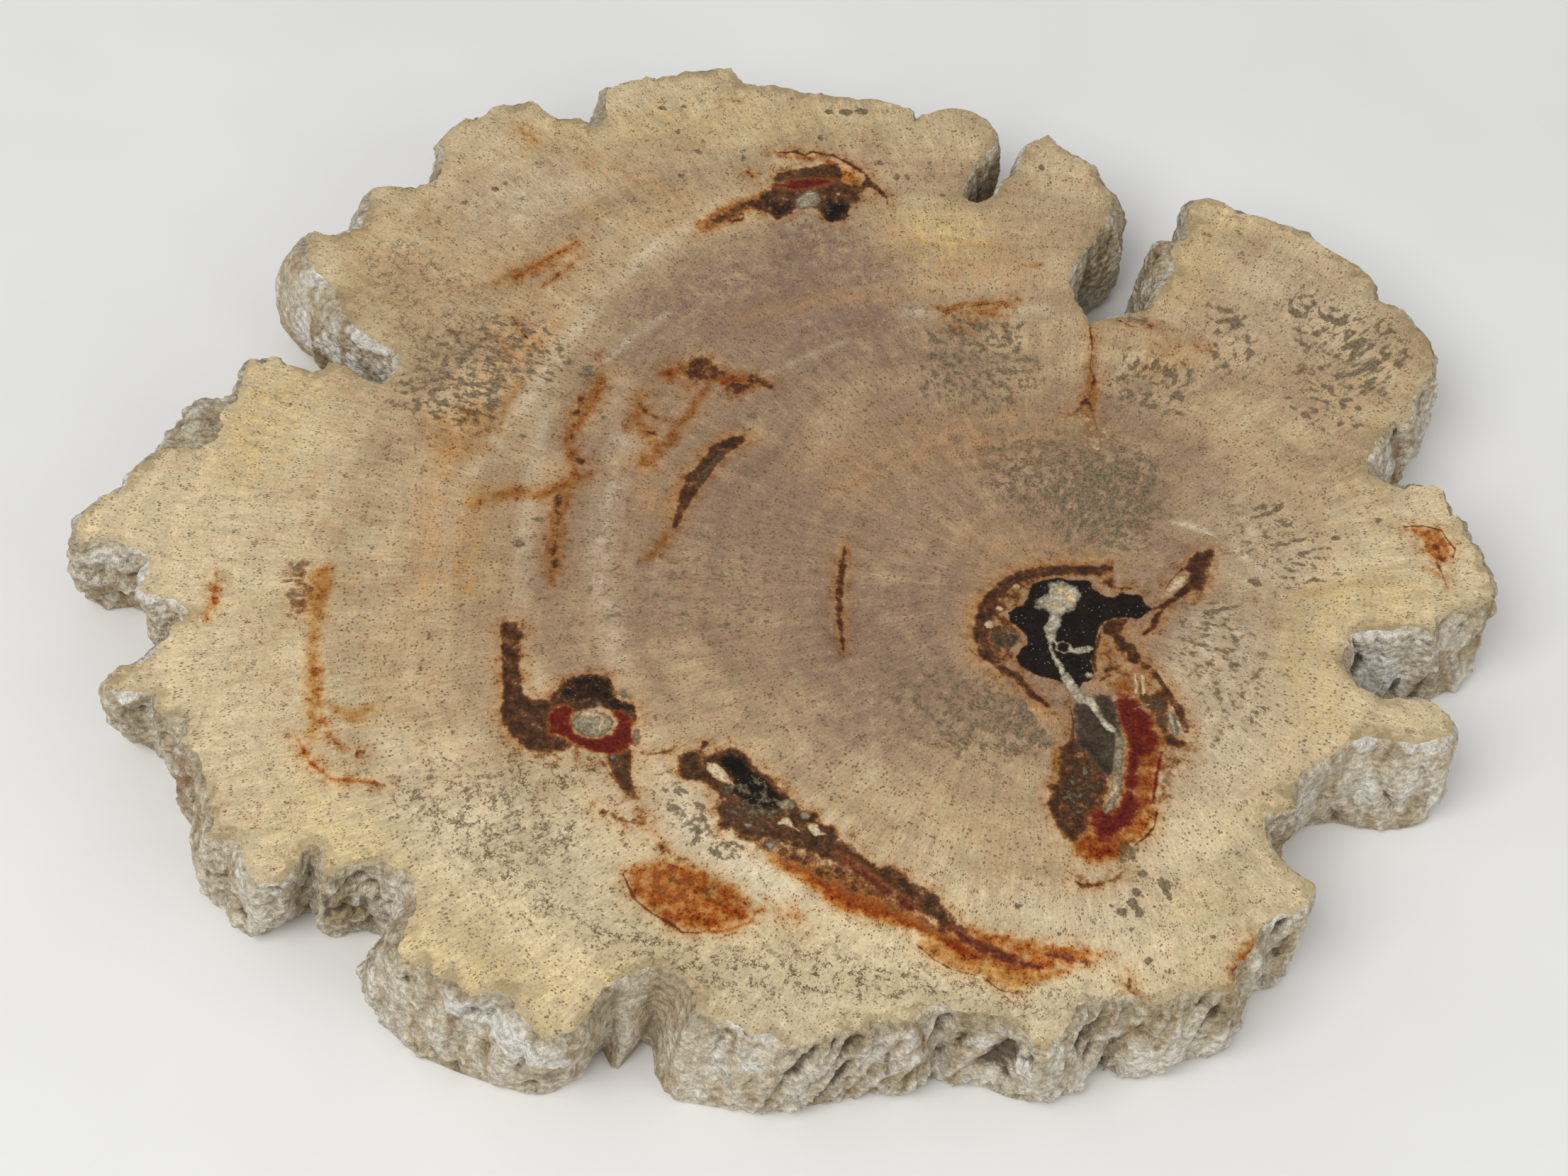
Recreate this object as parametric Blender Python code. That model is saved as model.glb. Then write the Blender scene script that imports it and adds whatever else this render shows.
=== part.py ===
"""Slice of petrified wood: one stone, with a flat polished face up and a flat sawn underside.

Metres, +Z up. The origin is under the middle of the slice, on the underside.
The slice is a ring of lobes and notches. Each stretch of its outline has a rim on the polished
face and a foot on the underside, and the rough wall is lofted between the two.
"""
import math
from collections import namedtuple

import bmesh
import bpy
from mathutils import Vector, geometry, noise

MM = 0.001

# Driving dimensions, in millimetres: the slice, and how closely its outline is followed
THICKNESS = 22.0
STATION_STEP = 2.8
RIM_RAGGEDNESS = 0.5
RIM_RAG_LENGTH = 2.3
RIM_CHAMFER = 0.35

# Relief of the broken wall, in millimetres: lumps, and flutes that lean as they go down. A flute is
# drawn out down the wall, so depth counts for little in it.
LUMP_HEIGHT = 1.2
LUMP_LENGTH = 7.5
FLUTE_HEIGHT = 1.0
FLUTE_WIDTH = 3.2
FLUTE_LEAN = 0.45
FLUTE_DEPTH_SHARE = 0.12
DEEPEST_RELIEF = 1.5
NOISE_SEED = Vector((17.0, 4.0, 9.0))

# Shape of the swell between rim and foot, the share of the depth at which the relief is full, and
# the last share of each stretch over which it turns into the next one
SWELL_SHAPE = 0.6
RELIEF_START = 0.33
EASE_SHARE = 0.25

# Depths of the wall's rings below the polished face, as shares of the thickness
RING_DEPTHS = (0.0, 0.05, 0.17, 0.33, 0.5, 0.67, 0.84, 1.0)

# Room that a wall may take in a notch, as a share of the gap to the wall that faces it. Only walls
# within the reach, more than a few stations away and ahead of the wall count.
NOTCH_SHARE = 0.22
GAP_REACH = 14.0
NEAR_STATIONS = 6
FACING_COSINE = 0.4

# Stations on either side that give the direction out of the wall, and the smallest distance that
# keeps two points of a flat face apart, in millimetres
NORMAL_REACH = 3
MERGE_DISTANCE = 1e-7

# A stretch of the outline. The rim holds its corners on the polished face, and the foot those on
# the underside, in millimetres. The wall swells out by swell halfway down. A spread under 1 takes
# the wall out towards its foot already just below the rim, as a ledge.
Stretch = namedtuple("Stretch", "name swell spread rim foot")

# The stretches, counterclockwise from above
STRETCHES = (
    Stretch("left tooth", swell=0.9, spread=1.0, rim=(
        (-125.3, -21.0), (-124.5, -25.3), (-122.0, -25.0), (-119.7, -24.2), (-113.5, -25.1),
        (-111.2, -26.1), (-111.2, -34.1), (-109.7, -35.3), (-104.4, -35.7), (-102.4, -38.0)),
        foot=(
        (-126.0, -17.2), (-126.2, -19.6), (-121.0, -21.2), (-117.3, -20.2), (-113.2, -22.0),
        (-111.4, -24.9), (-109.4, -28.0), (-106.6, -34.4), (-103.1, -37.7))),
    Stretch("second tooth", swell=1.4, spread=1.0, rim=(
        (-103.2, -39.5), (-104.4, -43.3), (-106.1, -46.8), (-107.0, -48.7), (-111.6, -51.4),
        (-112.4, -54.4), (-112.0, -56.3), (-108.6, -56.5)),
        foot=(
        (-103.6, -39.6), (-106.6, -42.4), (-111.0, -45.4), (-112.4, -48.6), (-110.2, -50.0))),
    Stretch("second tooth, inner side", swell=0.0, spread=1.0, rim=(
        (-103.6, -55.9), (-103.2, -60.2), (-97.5, -60.9), (-97.3, -63.2), (-97.9, -65.5)),
        foot=(
        (-103.9, -53.4), (-101.9, -57.2), (-100.6, -61.0), (-99.4, -64.4))),
    Stretch("third tooth", swell=0.3, spread=1.0, rim=(
        (-95.7, -66.8), (-93.5, -69.2), (-92.8, -71.9), (-90.9, -75.7), (-90.1, -79.5),
        (-89.1, -81.1), (-90.1, -84.1), (-84.4, -84.1), (-83.2, -88.3), (-80.1, -91.8),
        (-75.9, -91.6), (-74.4, -87.6), (-72.9, -83.8)),
        foot=(
        (-97.7, -66.6), (-96.1, -68.2), (-95.1, -72.4), (-94.8, -76.4), (-93.0, -79.6),
        (-91.1, -82.0), (-88.6, -83.1), (-87.4, -85.0), (-84.8, -87.2), (-81.8, -87.3),
        (-79.8, -85.4), (-75.6, -81.8))),
    Stretch("lacy notch", swell=0.6, spread=1.0, rim=(
        (-71.3, -84.5), (-70.0, -88.7), (-69.4, -90.4), (-66.4, -87.6), (-64.1, -86.2),
        (-61.4, -85.9), (-58.7, -87.6), (-56.4, -88.0), (-55.3, -90.3)),
        foot=(
        (-73.6, -82.6), (-71.6, -85.8), (-68.6, -85.4), (-65.5, -84.0), (-62.4, -85.2),
        (-60.6, -86.4))),
    Stretch("front left lobe", swell=1.0, spread=1.0, rim=(
        (-54.7, -93.3), (-55.8, -95.6), (-56.2, -101.0), (-55.0, -104.6), (-51.6, -104.4),
        (-49.7, -106.0), (-46.6, -106.7), (-43.6, -109.4), (-40.1, -107.9), (-37.4, -108.7),
        (-35.9, -112.1), (-32.1, -115.4), (-29.4, -115.5), (-26.0, -113.2), (-24.4, -109.0),
        (-21.8, -104.4)),
        foot=(
        (-61.6, -88.8), (-64.0, -92.1), (-62.5, -97.2), (-60.1, -100.6), (-57.4, -103.8),
        (-54.6, -106.2), (-51.2, -107.9), (-46.4, -109.7), (-38.3, -111.9), (-32.6, -112.6),
        (-30.6, -112.0), (-28.2, -109.4), (-25.7, -106.4), (-23.7, -102.9))),
    Stretch("front notch", swell=0.6, spread=1.0, rim=(
        (-19.1, -102.9), (-16.4, -101.0), (-14.6, -100.6), (-12.0, -102.0), (-9.6, -104.4),
        (-8.6, -108.9)),
        foot=(
        (-22.8, -104.4), (-21.2, -107.4), (-19.2, -104.4), (-17.4, -100.9), (-14.9, -102.4),
        (-15.2, -106.0), (-13.1, -109.1))),
    Stretch("front middle lobe", swell=0.8, spread=1.0, rim=(
        (-6.5, -109.2), (-2.0, -110.2), (-0.1, -111.7), (3.0, -111.3), (4.9, -112.9),
        (7.6, -112.9), (12.5, -110.9), (16.7, -109.4), (18.7, -109.0), (19.8, -107.1),
        (22.1, -107.5), (25.5, -106.7), (27.1, -104.4), (29.0, -103.0)),
        foot=(
        (-10.9, -111.3), (-4.9, -112.0), (3.2, -111.8), (11.2, -110.1), (15.2, -108.5),
        (18.5, -107.6), (20.9, -106.1), (23.8, -106.2), (27.4, -105.2), (30.2, -102.2))),
    Stretch("front right lobe", swell=0.7, spread=1.0, rim=(
        (31.7, -104.1), (39.2, -104.4), (41.5, -106.0), (44.5, -110.2), (46.4, -109.8),
        (49.5, -106.0), (51.4, -101.4), (55.6, -99.8), (59.4, -98.3), (61.0, -99.9),
        (65.6, -99.1), (68.2, -97.2), (71.3, -96.4), (75.9, -96.0), (76.3, -92.2),
        (78.6, -88.8), (80.5, -84.2)),
        foot=(
        (33.7, -103.8), (37.4, -102.8), (39.7, -104.3), (43.4, -105.8), (48.3, -105.6),
        (53.9, -102.1), (57.2, -97.4), (60.8, -99.7), (67.6, -97.7), (72.1, -95.2),
        (77.3, -93.2), (79.2, -89.6), (81.0, -84.6))),
    Stretch("front right shoulder", swell=0.0, spread=1.0, rim=(
        (83.5, -80.6), (86.4, -80.5), (88.7, -78.6), (90.0, -75.2)),
        foot=(
        (82.9, -81.2), (85.9, -80.4), (87.9, -77.6), (89.0, -74.6))),
    Stretch("right front notch", swell=0.0, spread=1.0, rim=(
        (89.9, -73.4), (86.4, -71.3), (82.6, -67.1), (82.2, -61.8), (82.9, -60.6),
        (87.5, -58.9), (87.0, -55.3), (88.7, -51.8)),
        foot=(
        (88.9, -72.0), (86.0, -69.4), (83.2, -66.0), (82.6, -62.4), (83.8, -60.0),
        (87.2, -58.0), (87.4, -53.8), (89.0, -50.2))),
    Stretch("right lobe", swell=0.6, spread=1.0, rim=(
        (92.1, -48.8), (98.2, -43.8), (100.2, -42.6), (108.6, -43.4), (112.8, -41.8),
        (115.2, -40.6), (115.2, -36.7), (113.3, -34.4), (111.7, -33.1)),
        foot=(
        (93.5, -46.2), (98.6, -44.8), (106.6, -45.7), (112.3, -44.4), (115.0, -42.4),
        (116.2, -38.2), (114.8, -34.8), (111.9, -33.6))),
    Stretch("right bay", swell=0.0, spread=1.0, rim=(
        (105.6, -32.9), (103.3, -33.7), (99.5, -31.4), (97.0, -26.4), (97.4, -24.5),
        (98.7, -22.6), (98.9, -20.3), (103.3, -18.8), (105.6, -19.1), (109.4, -17.4),
        (113.3, -18.0), (114.4, -14.9), (116.7, -13.4)),
        foot=(
        (106.0, -32.6), (102.4, -31.8), (100.0, -28.8), (99.4, -25.4), (100.8, -22.2),
        (104.6, -19.6), (110.0, -17.8), (114.0, -17.2), (116.8, -15.8), (118.8, -14.6))),
    Stretch("right tip", swell=0.6, spread=1.0, rim=(
        (121.3, -11.9), (125.1, -9.2), (125.1, -6.3), (124.6, -2.8), (123.5, -0.2),
        (123.6, 1.8), (122.1, 3.5), (121.0, 7.9), (120.3, 10.4), (118.7, 10.4), (118.2, 13.2),
        (117.9, 16.2), (116.0, 17.4), (112.9, 16.9), (111.8, 17.4), (110.4, 15.7),
        (108.9, 15.7)),
        foot=(
        (121.6, -12.6), (124.0, -9.8), (124.9, -6.0), (124.4, 0.0), (122.4, 6.0),
        (120.0, 12.0), (117.8, 16.2), (114.6, 17.8), (111.0, 16.6), (109.4, 16.2))),
    Stretch("upper right notch", swell=1.2, spread=0.8, rim=(
        (106.8, 17.2), (104.6, 19.2), (104.2, 22.0), (105.6, 23.8), (106.0, 26.0),
        (107.5, 27.8), (108.4, 30.6), (109.8, 31.8), (112.7, 32.0), (113.8, 35.4),
        (114.4, 38.9), (116.1, 42.7)),
        foot=(
        (107.6, 17.8), (106.8, 19.8), (107.6, 22.8), (109.2, 25.6), (110.8, 28.6),
        (112.2, 32.0), (114.2, 37.0), (116.4, 42.4))),
    Stretch("upper right lobe", swell=0.7, spread=1.0, rim=(
        (118.2, 45.6), (118.6, 50.6), (117.7, 56.0), (115.9, 57.9), (114.4, 61.7),
        (112.5, 63.5), (108.3, 64.8), (108.8, 68.6), (108.1, 70.8), (105.4, 74.0),
        (103.1, 75.7), (99.1, 78.5), (95.7, 82.1), (91.6, 83.9), (86.7, 85.6), (82.5, 86.1),
        (81.8, 87.2), (78.8, 89.3), (77.5, 89.8), (73.7, 89.0), (72.2, 86.2)),
        foot=(
        (118.4, 46.0), (119.0, 52.0), (116.8, 58.6), (112.6, 64.4), (109.8, 66.6),
        (108.6, 71.4), (103.0, 76.8), (95.8, 82.8), (88.0, 86.4), (82.0, 88.4),
        (76.6, 90.0), (70.4, 88.2))),
    Stretch("deep notch, mouth", swell=0.3, spread=1.0, rim=(
        (72.6, 84.0), (71.9, 81.0), (71.4, 77.4)),
        foot=(
        (71.4, 84.6), (70.0, 81.0))),
    Stretch("deep notch, right wall", swell=0.3, spread=0.25, rim=(
        (69.2, 75.4), (68.0, 73.2), (68.8, 70.6), (68.9, 68.3), (67.2, 64.4), (65.7, 61.0),
        (64.9, 57.5), (61.8, 55.8)),
        foot=(
        (65.4, 80.2), (63.0, 76.2), (64.0, 69.4), (64.6, 64.0), (64.0, 59.6), (61.6, 56.4))),
    Stretch("deep notch, tip", swell=0.0, spread=1.0, rim=(
        (59.2, 54.2), (55.7, 53.3), (54.3, 52.4), (52.8, 51.4), (51.5, 54.5)),
        foot=(
        (59.0, 54.8), (55.9, 53.8), (54.4, 52.9), (52.8, 51.9), (51.8, 55.0))),
    Stretch("deep notch, left wall", swell=0.0, spread=1.0, rim=(
        (50.0, 57.9), (48.8, 62.1), (49.8, 65.7), (51.3, 70.2), (54.7, 76.0)),
        foot=(
        (51.0, 58.8), (50.8, 62.8), (51.8, 68.4), (54.2, 75.0))),
    Stretch("upper lobe, shoulder", swell=2.9, spread=0.8, rim=(
        (56.3, 79.8), (57.4, 83.5), (57.5, 87.5)),
        foot=(
        (56.8, 80.4), (58.0, 84.6))),
    Stretch("upper lobe", swell=0.8, spread=1.0, rim=(
        (56.1, 90.3), (54.6, 92.1), (54.3, 96.1), (51.3, 98.2), (47.6, 100.7), (45.9, 102.2),
        (45.1, 104.4), (44.0, 104.4), (41.5, 102.1), (39.6, 100.1), (38.9, 97.0),
        (37.8, 91.7), (36.6, 90.7), (35.2, 89.2)),
        foot=(
        (57.8, 89.4), (56.6, 93.0), (54.2, 97.6), (49.4, 101.2), (45.0, 104.8),
        (41.6, 103.0), (38.6, 99.4), (37.0, 93.4), (35.0, 89.8))),
    Stretch("wedge notch", swell=0.0, spread=1.0, rim=(
        (33.9, 85.4), (32.2, 83.4), (30.8, 82.4), (28.7, 82.9), (28.2, 84.5), (28.4, 88.5),
        (29.5, 90.1), (29.9, 93.6), (31.6, 95.0), (33.0, 98.0)),
        foot=(
        (33.6, 86.6), (32.2, 84.8), (30.8, 84.0), (29.0, 85.4), (29.4, 89.4), (30.8, 93.4),
        (32.8, 98.2))),
    Stretch("top lobe", swell=0.4, spread=1.0, rim=(
        (34.4, 101.5), (34.2, 103.6), (32.4, 106.8), (29.5, 109.3), (25.9, 110.1),
        (21.8, 108.9), (19.9, 107.7), (18.5, 107.2), (17.6, 105.3), (16.9, 108.0),
        (15.0, 109.3), (9.6, 110.7), (3.6, 110.3), (-3.1, 111.0), (-4.5, 110.3),
        (-8.7, 111.6), (-11.7, 112.4), (-15.0, 111.5), (-17.9, 112.0), (-19.2, 113.8),
        (-20.7, 116.4), (-24.0, 115.8), (-25.5, 114.8), (-30.1, 114.1), (-31.8, 112.8),
        (-35.6, 111.4), (-37.9, 111.4), (-38.5, 110.1), (-40.8, 109.9), (-43.3, 108.0),
        (-45.4, 106.6)),
        foot=(
        (34.4, 102.2), (33.4, 106.8), (29.8, 110.4), (24.0, 110.8), (18.2, 108.8),
        (12.0, 111.0), (4.0, 111.6), (-5.0, 111.2), (-12.0, 113.0), (-17.6, 113.0),
        (-21.6, 115.4), (-28.6, 115.2), (-36.6, 111.8), (-41.8, 110.4), (-47.0, 106.8))),
    Stretch("top left notch", swell=1.0, spread=0.45, rim=(
        (-45.5, 104.1), (-45.2, 101.3), (-44.8, 98.2), (-45.2, 95.8), (-46.6, 94.8),
        (-48.0, 95.8), (-49.5, 97.3), (-51.0, 96.3), (-53.9, 96.0), (-56.3, 97.6)),
        foot=(
        (-47.6, 104.4), (-48.6, 100.6), (-49.8, 98.8), (-52.0, 98.6), (-54.6, 98.2),
        (-57.4, 99.8))),
    Stretch("upper left lobe", swell=0.9, spread=1.0, rim=(
        (-59.6, 101.1), (-61.5, 100.3), (-63.2, 99.1), (-65.3, 99.0), (-67.6, 97.8),
        (-68.0, 95.9), (-70.7, 93.6), (-72.2, 93.8), (-75.1, 90.0), (-76.4, 86.3),
        (-75.3, 82.0), (-75.5, 77.0), (-76.5, 74.1), (-78.9, 72.5), (-83.1, 72.4)),
        foot=(
        (-60.4, 101.2), (-65.0, 99.8), (-69.6, 96.6), (-73.2, 93.2), (-77.0, 87.4),
        (-76.8, 82.0), (-76.8, 77.4), (-79.2, 73.6), (-84.6, 72.8))),
    Stretch("left lobe, upper end", swell=1.9, spread=0.6, rim=(
        (-87.5, 71.4), (-87.6, 68.0), (-88.1, 61.0), (-90.5, 58.4), (-92.0, 57.3),
        (-94.7, 57.2), (-96.3, 58.3), (-97.4, 55.0)),
        foot=(
        (-88.8, 71.4), (-90.6, 66.4), (-91.6, 61.0), (-93.8, 59.0), (-96.4, 58.8),
        (-98.6, 55.6))),
    Stretch("left wall", swell=5.6, spread=1.0, rim=(
        (-97.6, 52.8), (-97.0, 50.5), (-94.7, 47.1), (-92.4, 44.4)),
        foot=(
        (-98.4, 53.0), (-96.8, 49.8), (-94.6, 47.0))),
    Stretch("left wall, lower end", swell=4.6, spread=1.0, rim=(
        (-89.6, 41.3), (-88.6, 38.5), (-87.6, 36.0), (-84.8, 32.5)),
        foot=(
        (-91.8, 43.0), (-89.2, 38.6), (-86.4, 34.6))),
    Stretch("left notch", swell=0.4, spread=1.0, rim=(
        (-80.6, 29.8), (-76.7, 27.9), (-75.1, 25.8), (-76.2, 21.4), (-77.6, 19.6),
        (-80.2, 20.0), (-83.6, 22.6), (-86.0, 23.9), (-88.2, 23.7), (-88.4, 22.0),
        (-90.7, 21.0), (-93.2, 21.9), (-95.9, 22.1), (-96.8, 23.7), (-99.3, 23.9)),
        foot=(
        (-82.0, 31.0), (-78.0, 28.2), (-76.6, 25.4), (-77.8, 22.4), (-80.0, 21.2),
        (-83.4, 23.2), (-87.0, 24.2), (-91.0, 22.0), (-95.8, 22.8), (-99.4, 24.4))),
    Stretch("left shoulder", swell=0.2, spread=1.0, rim=(
        (-100.3, 22.4), (-102.4, 22.9), (-103.3, 20.5), (-103.1, 15.0)),
        foot=(
        (-101.2, 23.4), (-103.4, 22.6), (-104.6, 20.0), (-106.4, 16.6))),
    Stretch("left shelf", swell=0.4, spread=0.3, rim=(
        (-103.6, 12.0), (-105.1, 10.1), (-105.3, 8.2), (-104.0, 5.1), (-104.7, 1.7),
        (-108.2, -0.6), (-111.4, -0.2)),
        foot=(
        (-112.2, 15.0), (-116.8, 13.2), (-118.8, 9.6), (-118.8, 5.4), (-117.8, 1.6))),
    Stretch("left tip", swell=0.6, spread=0.8, rim=(
        (-114.3, -1.4), (-116.2, -4.6), (-117.6, -6.0), (-118.5, -10.2), (-120.7, -12.5),
        (-122.3, -14.6), (-125.1, -19.2)),
        foot=(
        (-116.2, -1.6), (-118.0, -5.0), (-119.6, -9.4), (-122.4, -12.0), (-125.2, -14.8))),
)

# The two finishes, in the order of their slots on the mesh
FACE_INDEX = 0
WALL_INDEX = 1
FACE_COLOUR = (0.56, 0.43, 0.29, 1.0)
WALL_COLOUR = (0.38, 0.35, 0.31, 1.0)
FACE_ROUGHNESS = 0.32
WALL_ROUGHNESS = 0.85


def clear_scene():
    for old in list(bpy.data.objects):
        bpy.data.objects.remove(old, do_unlink=True)


def stone_material(name, colour, roughness):
    material = bpy.data.materials.new(name)
    material.use_nodes = True
    shader = material.node_tree.nodes["Principled BSDF"]
    shader.inputs["Base Color"].default_value = colour
    shader.inputs["Roughness"].default_value = roughness
    shader.inputs["Metallic"].default_value = 0.0
    material.diffuse_color = colour
    return material


def running_lengths(points):
    """Distance along a line of points, at each point."""
    lengths = [0.0]
    for a, b in zip(points, points[1:]):
        lengths.append(lengths[-1] + (b - a).length)
    return lengths


def point_at(points, lengths, share):
    """The point that lies the given share of the way along a line of points."""
    target = share * lengths[-1]
    for i in range(len(points) - 1):
        if target <= lengths[i + 1]:
            part = (target - lengths[i]) / (lengths[i + 1] - lengths[i])
            return points[i].lerp(points[i + 1], part)
    return points[-1].copy()


def ragged(place):
    """A point of the rim, nudged in plan so that no stretch between corners is straight."""
    spot = Vector((place.x, place.y, 0.0)) / RIM_RAG_LENGTH + NOISE_SEED
    nudge = noise.noise_vector(spot) * RIM_RAGGEDNESS
    return place + Vector((nudge.x, nudge.y))


def stations():
    """Rim point, foot point, swell and spread for each station round the slice."""
    stations_found = []
    for stretch, following in zip(STRETCHES, STRETCHES[1:] + STRETCHES[:1]):
        rim_line = [Vector(p) for p in stretch.rim + following.rim[:1]]
        foot_line = [Vector(p) for p in stretch.foot + following.foot[:1]]
        rim_lengths = running_lengths(rim_line)
        foot_lengths = running_lengths(foot_line)
        for i in range(len(rim_line) - 1):
            span = rim_lengths[i + 1] - rim_lengths[i]
            steps = max(1, math.ceil(span / STATION_STEP))
            for step in range(steps):
                share = (rim_lengths[i] + span * step / steps) / rim_lengths[-1]
                ease = max(0.0, 1.0 - (1.0 - share) / EASE_SHARE)
                rim = rim_line[i].lerp(rim_line[i + 1], step / steps)
                foot = point_at(foot_line, foot_lengths, share)
                swell = stretch.swell + (following.swell - stretch.swell) * ease
                spread = stretch.spread + (following.spread - stretch.spread) * ease
                stations_found.append((ragged(rim) if step else rim, foot, swell, spread))
    return stations_found


def outward_directions(ring):
    """Direction out of the stone at each point of a counterclockwise ring."""
    count = len(ring)
    directions = []
    for i in range(count):
        along = ring[(i + NORMAL_REACH) % count] - ring[i - NORMAL_REACH]
        directions.append(Vector((along.y, -along.x)).normalized())
    return directions


def notch_gaps(ring, directions):
    """Clear distance in front of each station, up to the reach that matters."""
    count = len(ring)
    gaps = []
    for i in range(count):
        gap = GAP_REACH
        for j in range(count):
            apart = min((i - j) % count, (j - i) % count)
            if apart < NEAR_STATIONS:
                continue
            across = ring[j] - ring[i]
            ahead = across.dot(directions[i]) > FACING_COSINE * across.length
            if across.length < gap and ahead:
                gap = across.length
        gaps.append(gap)
    return gaps


def wall_relief(place, depth):
    """Lumps and leaning flutes of the broken wall, as a distance out of the stone."""
    lumps = noise.noise(Vector((place.x, place.y, depth)) / LUMP_LENGTH + NOISE_SEED)
    leaning = Vector((place.x + FLUTE_LEAN * depth, place.y, FLUTE_DEPTH_SHARE * depth))
    flutes = noise.noise(leaning / FLUTE_WIDTH + NOISE_SEED)
    return LUMP_HEIGHT * lumps + FLUTE_HEIGHT * flutes


def wall_rings():
    """The rings of points of the wall, from the rim down to the foot."""
    around = stations()
    rims = [station[0] for station in around]
    directions = outward_directions(rims)
    gaps = notch_gaps(rims, directions)
    rings = []
    for share in RING_DEPTHS:
        depth = share * THICKNESS
        ring = []
        for (rim, foot, swell, spread), out, gap in zip(around, directions, gaps):
            place = rim.lerp(foot, share ** spread)
            if 0.0 < share < 1.0:
                bulge = swell * math.sin(math.pi * share) ** SWELL_SHAPE
                rough = wall_relief(rim, depth) * min(1.0, share / RELIEF_START)
                push = max(-DEEPEST_RELIEF, RIM_CHAMFER + bulge + rough)
                if gap < GAP_REACH:
                    push = min(push, NOTCH_SHARE * gap)
                place = place + out * push
            ring.append(Vector((place.x, place.y, THICKNESS - depth)))
        rings.append(ring)
    return rings


def fill_flat(shape, row, ring, material_index):
    """Close a ring of vertices, one for each point of the ring, with a flat face of triangles."""
    outline = [point.to_2d() for point in ring]
    edge = list(range(len(ring)))
    inside_only = 1
    filled = geometry.delaunay_2d_cdt(outline, [], [edge], inside_only, MERGE_DISTANCE)
    corner_sources = filled[3]
    for corners in filled[2]:
        face = shape.faces.new([row[corner_sources[corner][0]] for corner in corners])
        face.material_index = material_index


def build_slice():
    """The whole stone as one closed mesh: polished face, rough wall and flat underside."""
    mesh = bpy.data.meshes.new("petrified_wood_slice")
    shape = bmesh.new()
    rings = wall_rings()
    rows = [[shape.verts.new(point * MM) for point in ring] for ring in rings]
    count = len(rows[0])
    for upper, lower in zip(rows, rows[1:]):
        for i in range(count):
            j = (i + 1) % count
            wall = shape.faces.new((upper[i], lower[i], lower[j], upper[j]))
            wall.material_index = WALL_INDEX
    fill_flat(shape, rows[0], rings[0], FACE_INDEX)
    fill_flat(shape, rows[-1], rings[-1], WALL_INDEX)
    bmesh.ops.triangulate(shape, faces=shape.faces[:])
    bmesh.ops.recalc_face_normals(shape, faces=shape.faces[:])
    shape.to_mesh(mesh)
    shape.free()

    stone = bpy.data.objects.new("petrified_wood_slice", mesh)
    bpy.context.scene.collection.objects.link(stone)
    mesh.materials.append(stone_material("polished_face", FACE_COLOUR, FACE_ROUGHNESS))
    mesh.materials.append(stone_material("rough_wall", WALL_COLOUR, WALL_ROUGHNESS))
    return stone


def main():
    clear_scene()
    build_slice()


main()
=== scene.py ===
"""Looks of the petrified wood slice: polished face with its knots and stains, broken wall, sawn underside.

The visible stone is one closed mesh that replaces the CAD node and is made from it: its wall is the
CAD wall, refined and roughened, and its two flat faces are filled anew between their rims.
The markings are lines and areas drawn in millimetres on the face. Each gives a coverage from
0 to 1 in a named layer, held by the mesh's points, and the materials turn a layer into ragged stains.
"""
import math
from collections import namedtuple

import bmesh
import bpy
import numpy as np
from mathutils import Matrix, Vector, bvhtree, geometry, kdtree, noise


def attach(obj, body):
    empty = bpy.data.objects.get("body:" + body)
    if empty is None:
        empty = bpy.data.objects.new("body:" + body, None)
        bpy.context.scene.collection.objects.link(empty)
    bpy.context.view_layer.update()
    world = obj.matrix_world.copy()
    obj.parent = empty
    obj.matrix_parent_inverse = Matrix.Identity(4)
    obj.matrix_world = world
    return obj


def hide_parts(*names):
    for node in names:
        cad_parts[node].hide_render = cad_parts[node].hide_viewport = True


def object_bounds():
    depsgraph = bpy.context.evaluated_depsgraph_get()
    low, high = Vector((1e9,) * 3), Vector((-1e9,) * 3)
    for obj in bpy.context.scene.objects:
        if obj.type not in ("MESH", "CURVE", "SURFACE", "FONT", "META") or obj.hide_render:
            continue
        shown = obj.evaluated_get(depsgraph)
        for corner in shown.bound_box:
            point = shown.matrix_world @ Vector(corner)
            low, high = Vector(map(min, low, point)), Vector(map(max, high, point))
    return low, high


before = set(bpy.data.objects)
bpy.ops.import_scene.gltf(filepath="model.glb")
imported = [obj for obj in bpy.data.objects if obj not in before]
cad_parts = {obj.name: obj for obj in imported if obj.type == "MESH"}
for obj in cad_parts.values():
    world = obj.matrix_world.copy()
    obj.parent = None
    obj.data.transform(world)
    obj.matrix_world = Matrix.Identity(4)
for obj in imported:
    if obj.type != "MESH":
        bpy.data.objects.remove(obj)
CAD_BOX = [list(corner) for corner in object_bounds()]
NODE = "petrified_wood_slice"
PIECE = "petrified_wood_stone"
MM = 0.001
TINY = 1e-12

# The photograph's view: where the camera stands, in millimetres, how far it looks down and is
# tilted, in degrees, and its lens on a 36 mm sensor
CAMERA_PLACE = (-0.7, -351.08, 415.47)
CAMERA_LOOKS_DOWN = 50.0
CAMERA_TILT = 5.04
CAMERA_LENS = 67.57
SENSOR_WIDTH = 36.0

# Heights this close, in millimetres, are the same
LEVEL = 1e-3

# Longest edges of the wall in front, of the wall behind and of the rim, in millimetres; the y of
# a face's normal, below which it counts as in front; how often the wall is split and smoothed
FRONT_EDGE = 1.25
BACK_EDGE = 1.9
RIM_EDGE = 0.8
FRONT_NORMAL = 0.1
WALL_SPLITS = 3
WALL_SMOOTHINGS = 2

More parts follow.
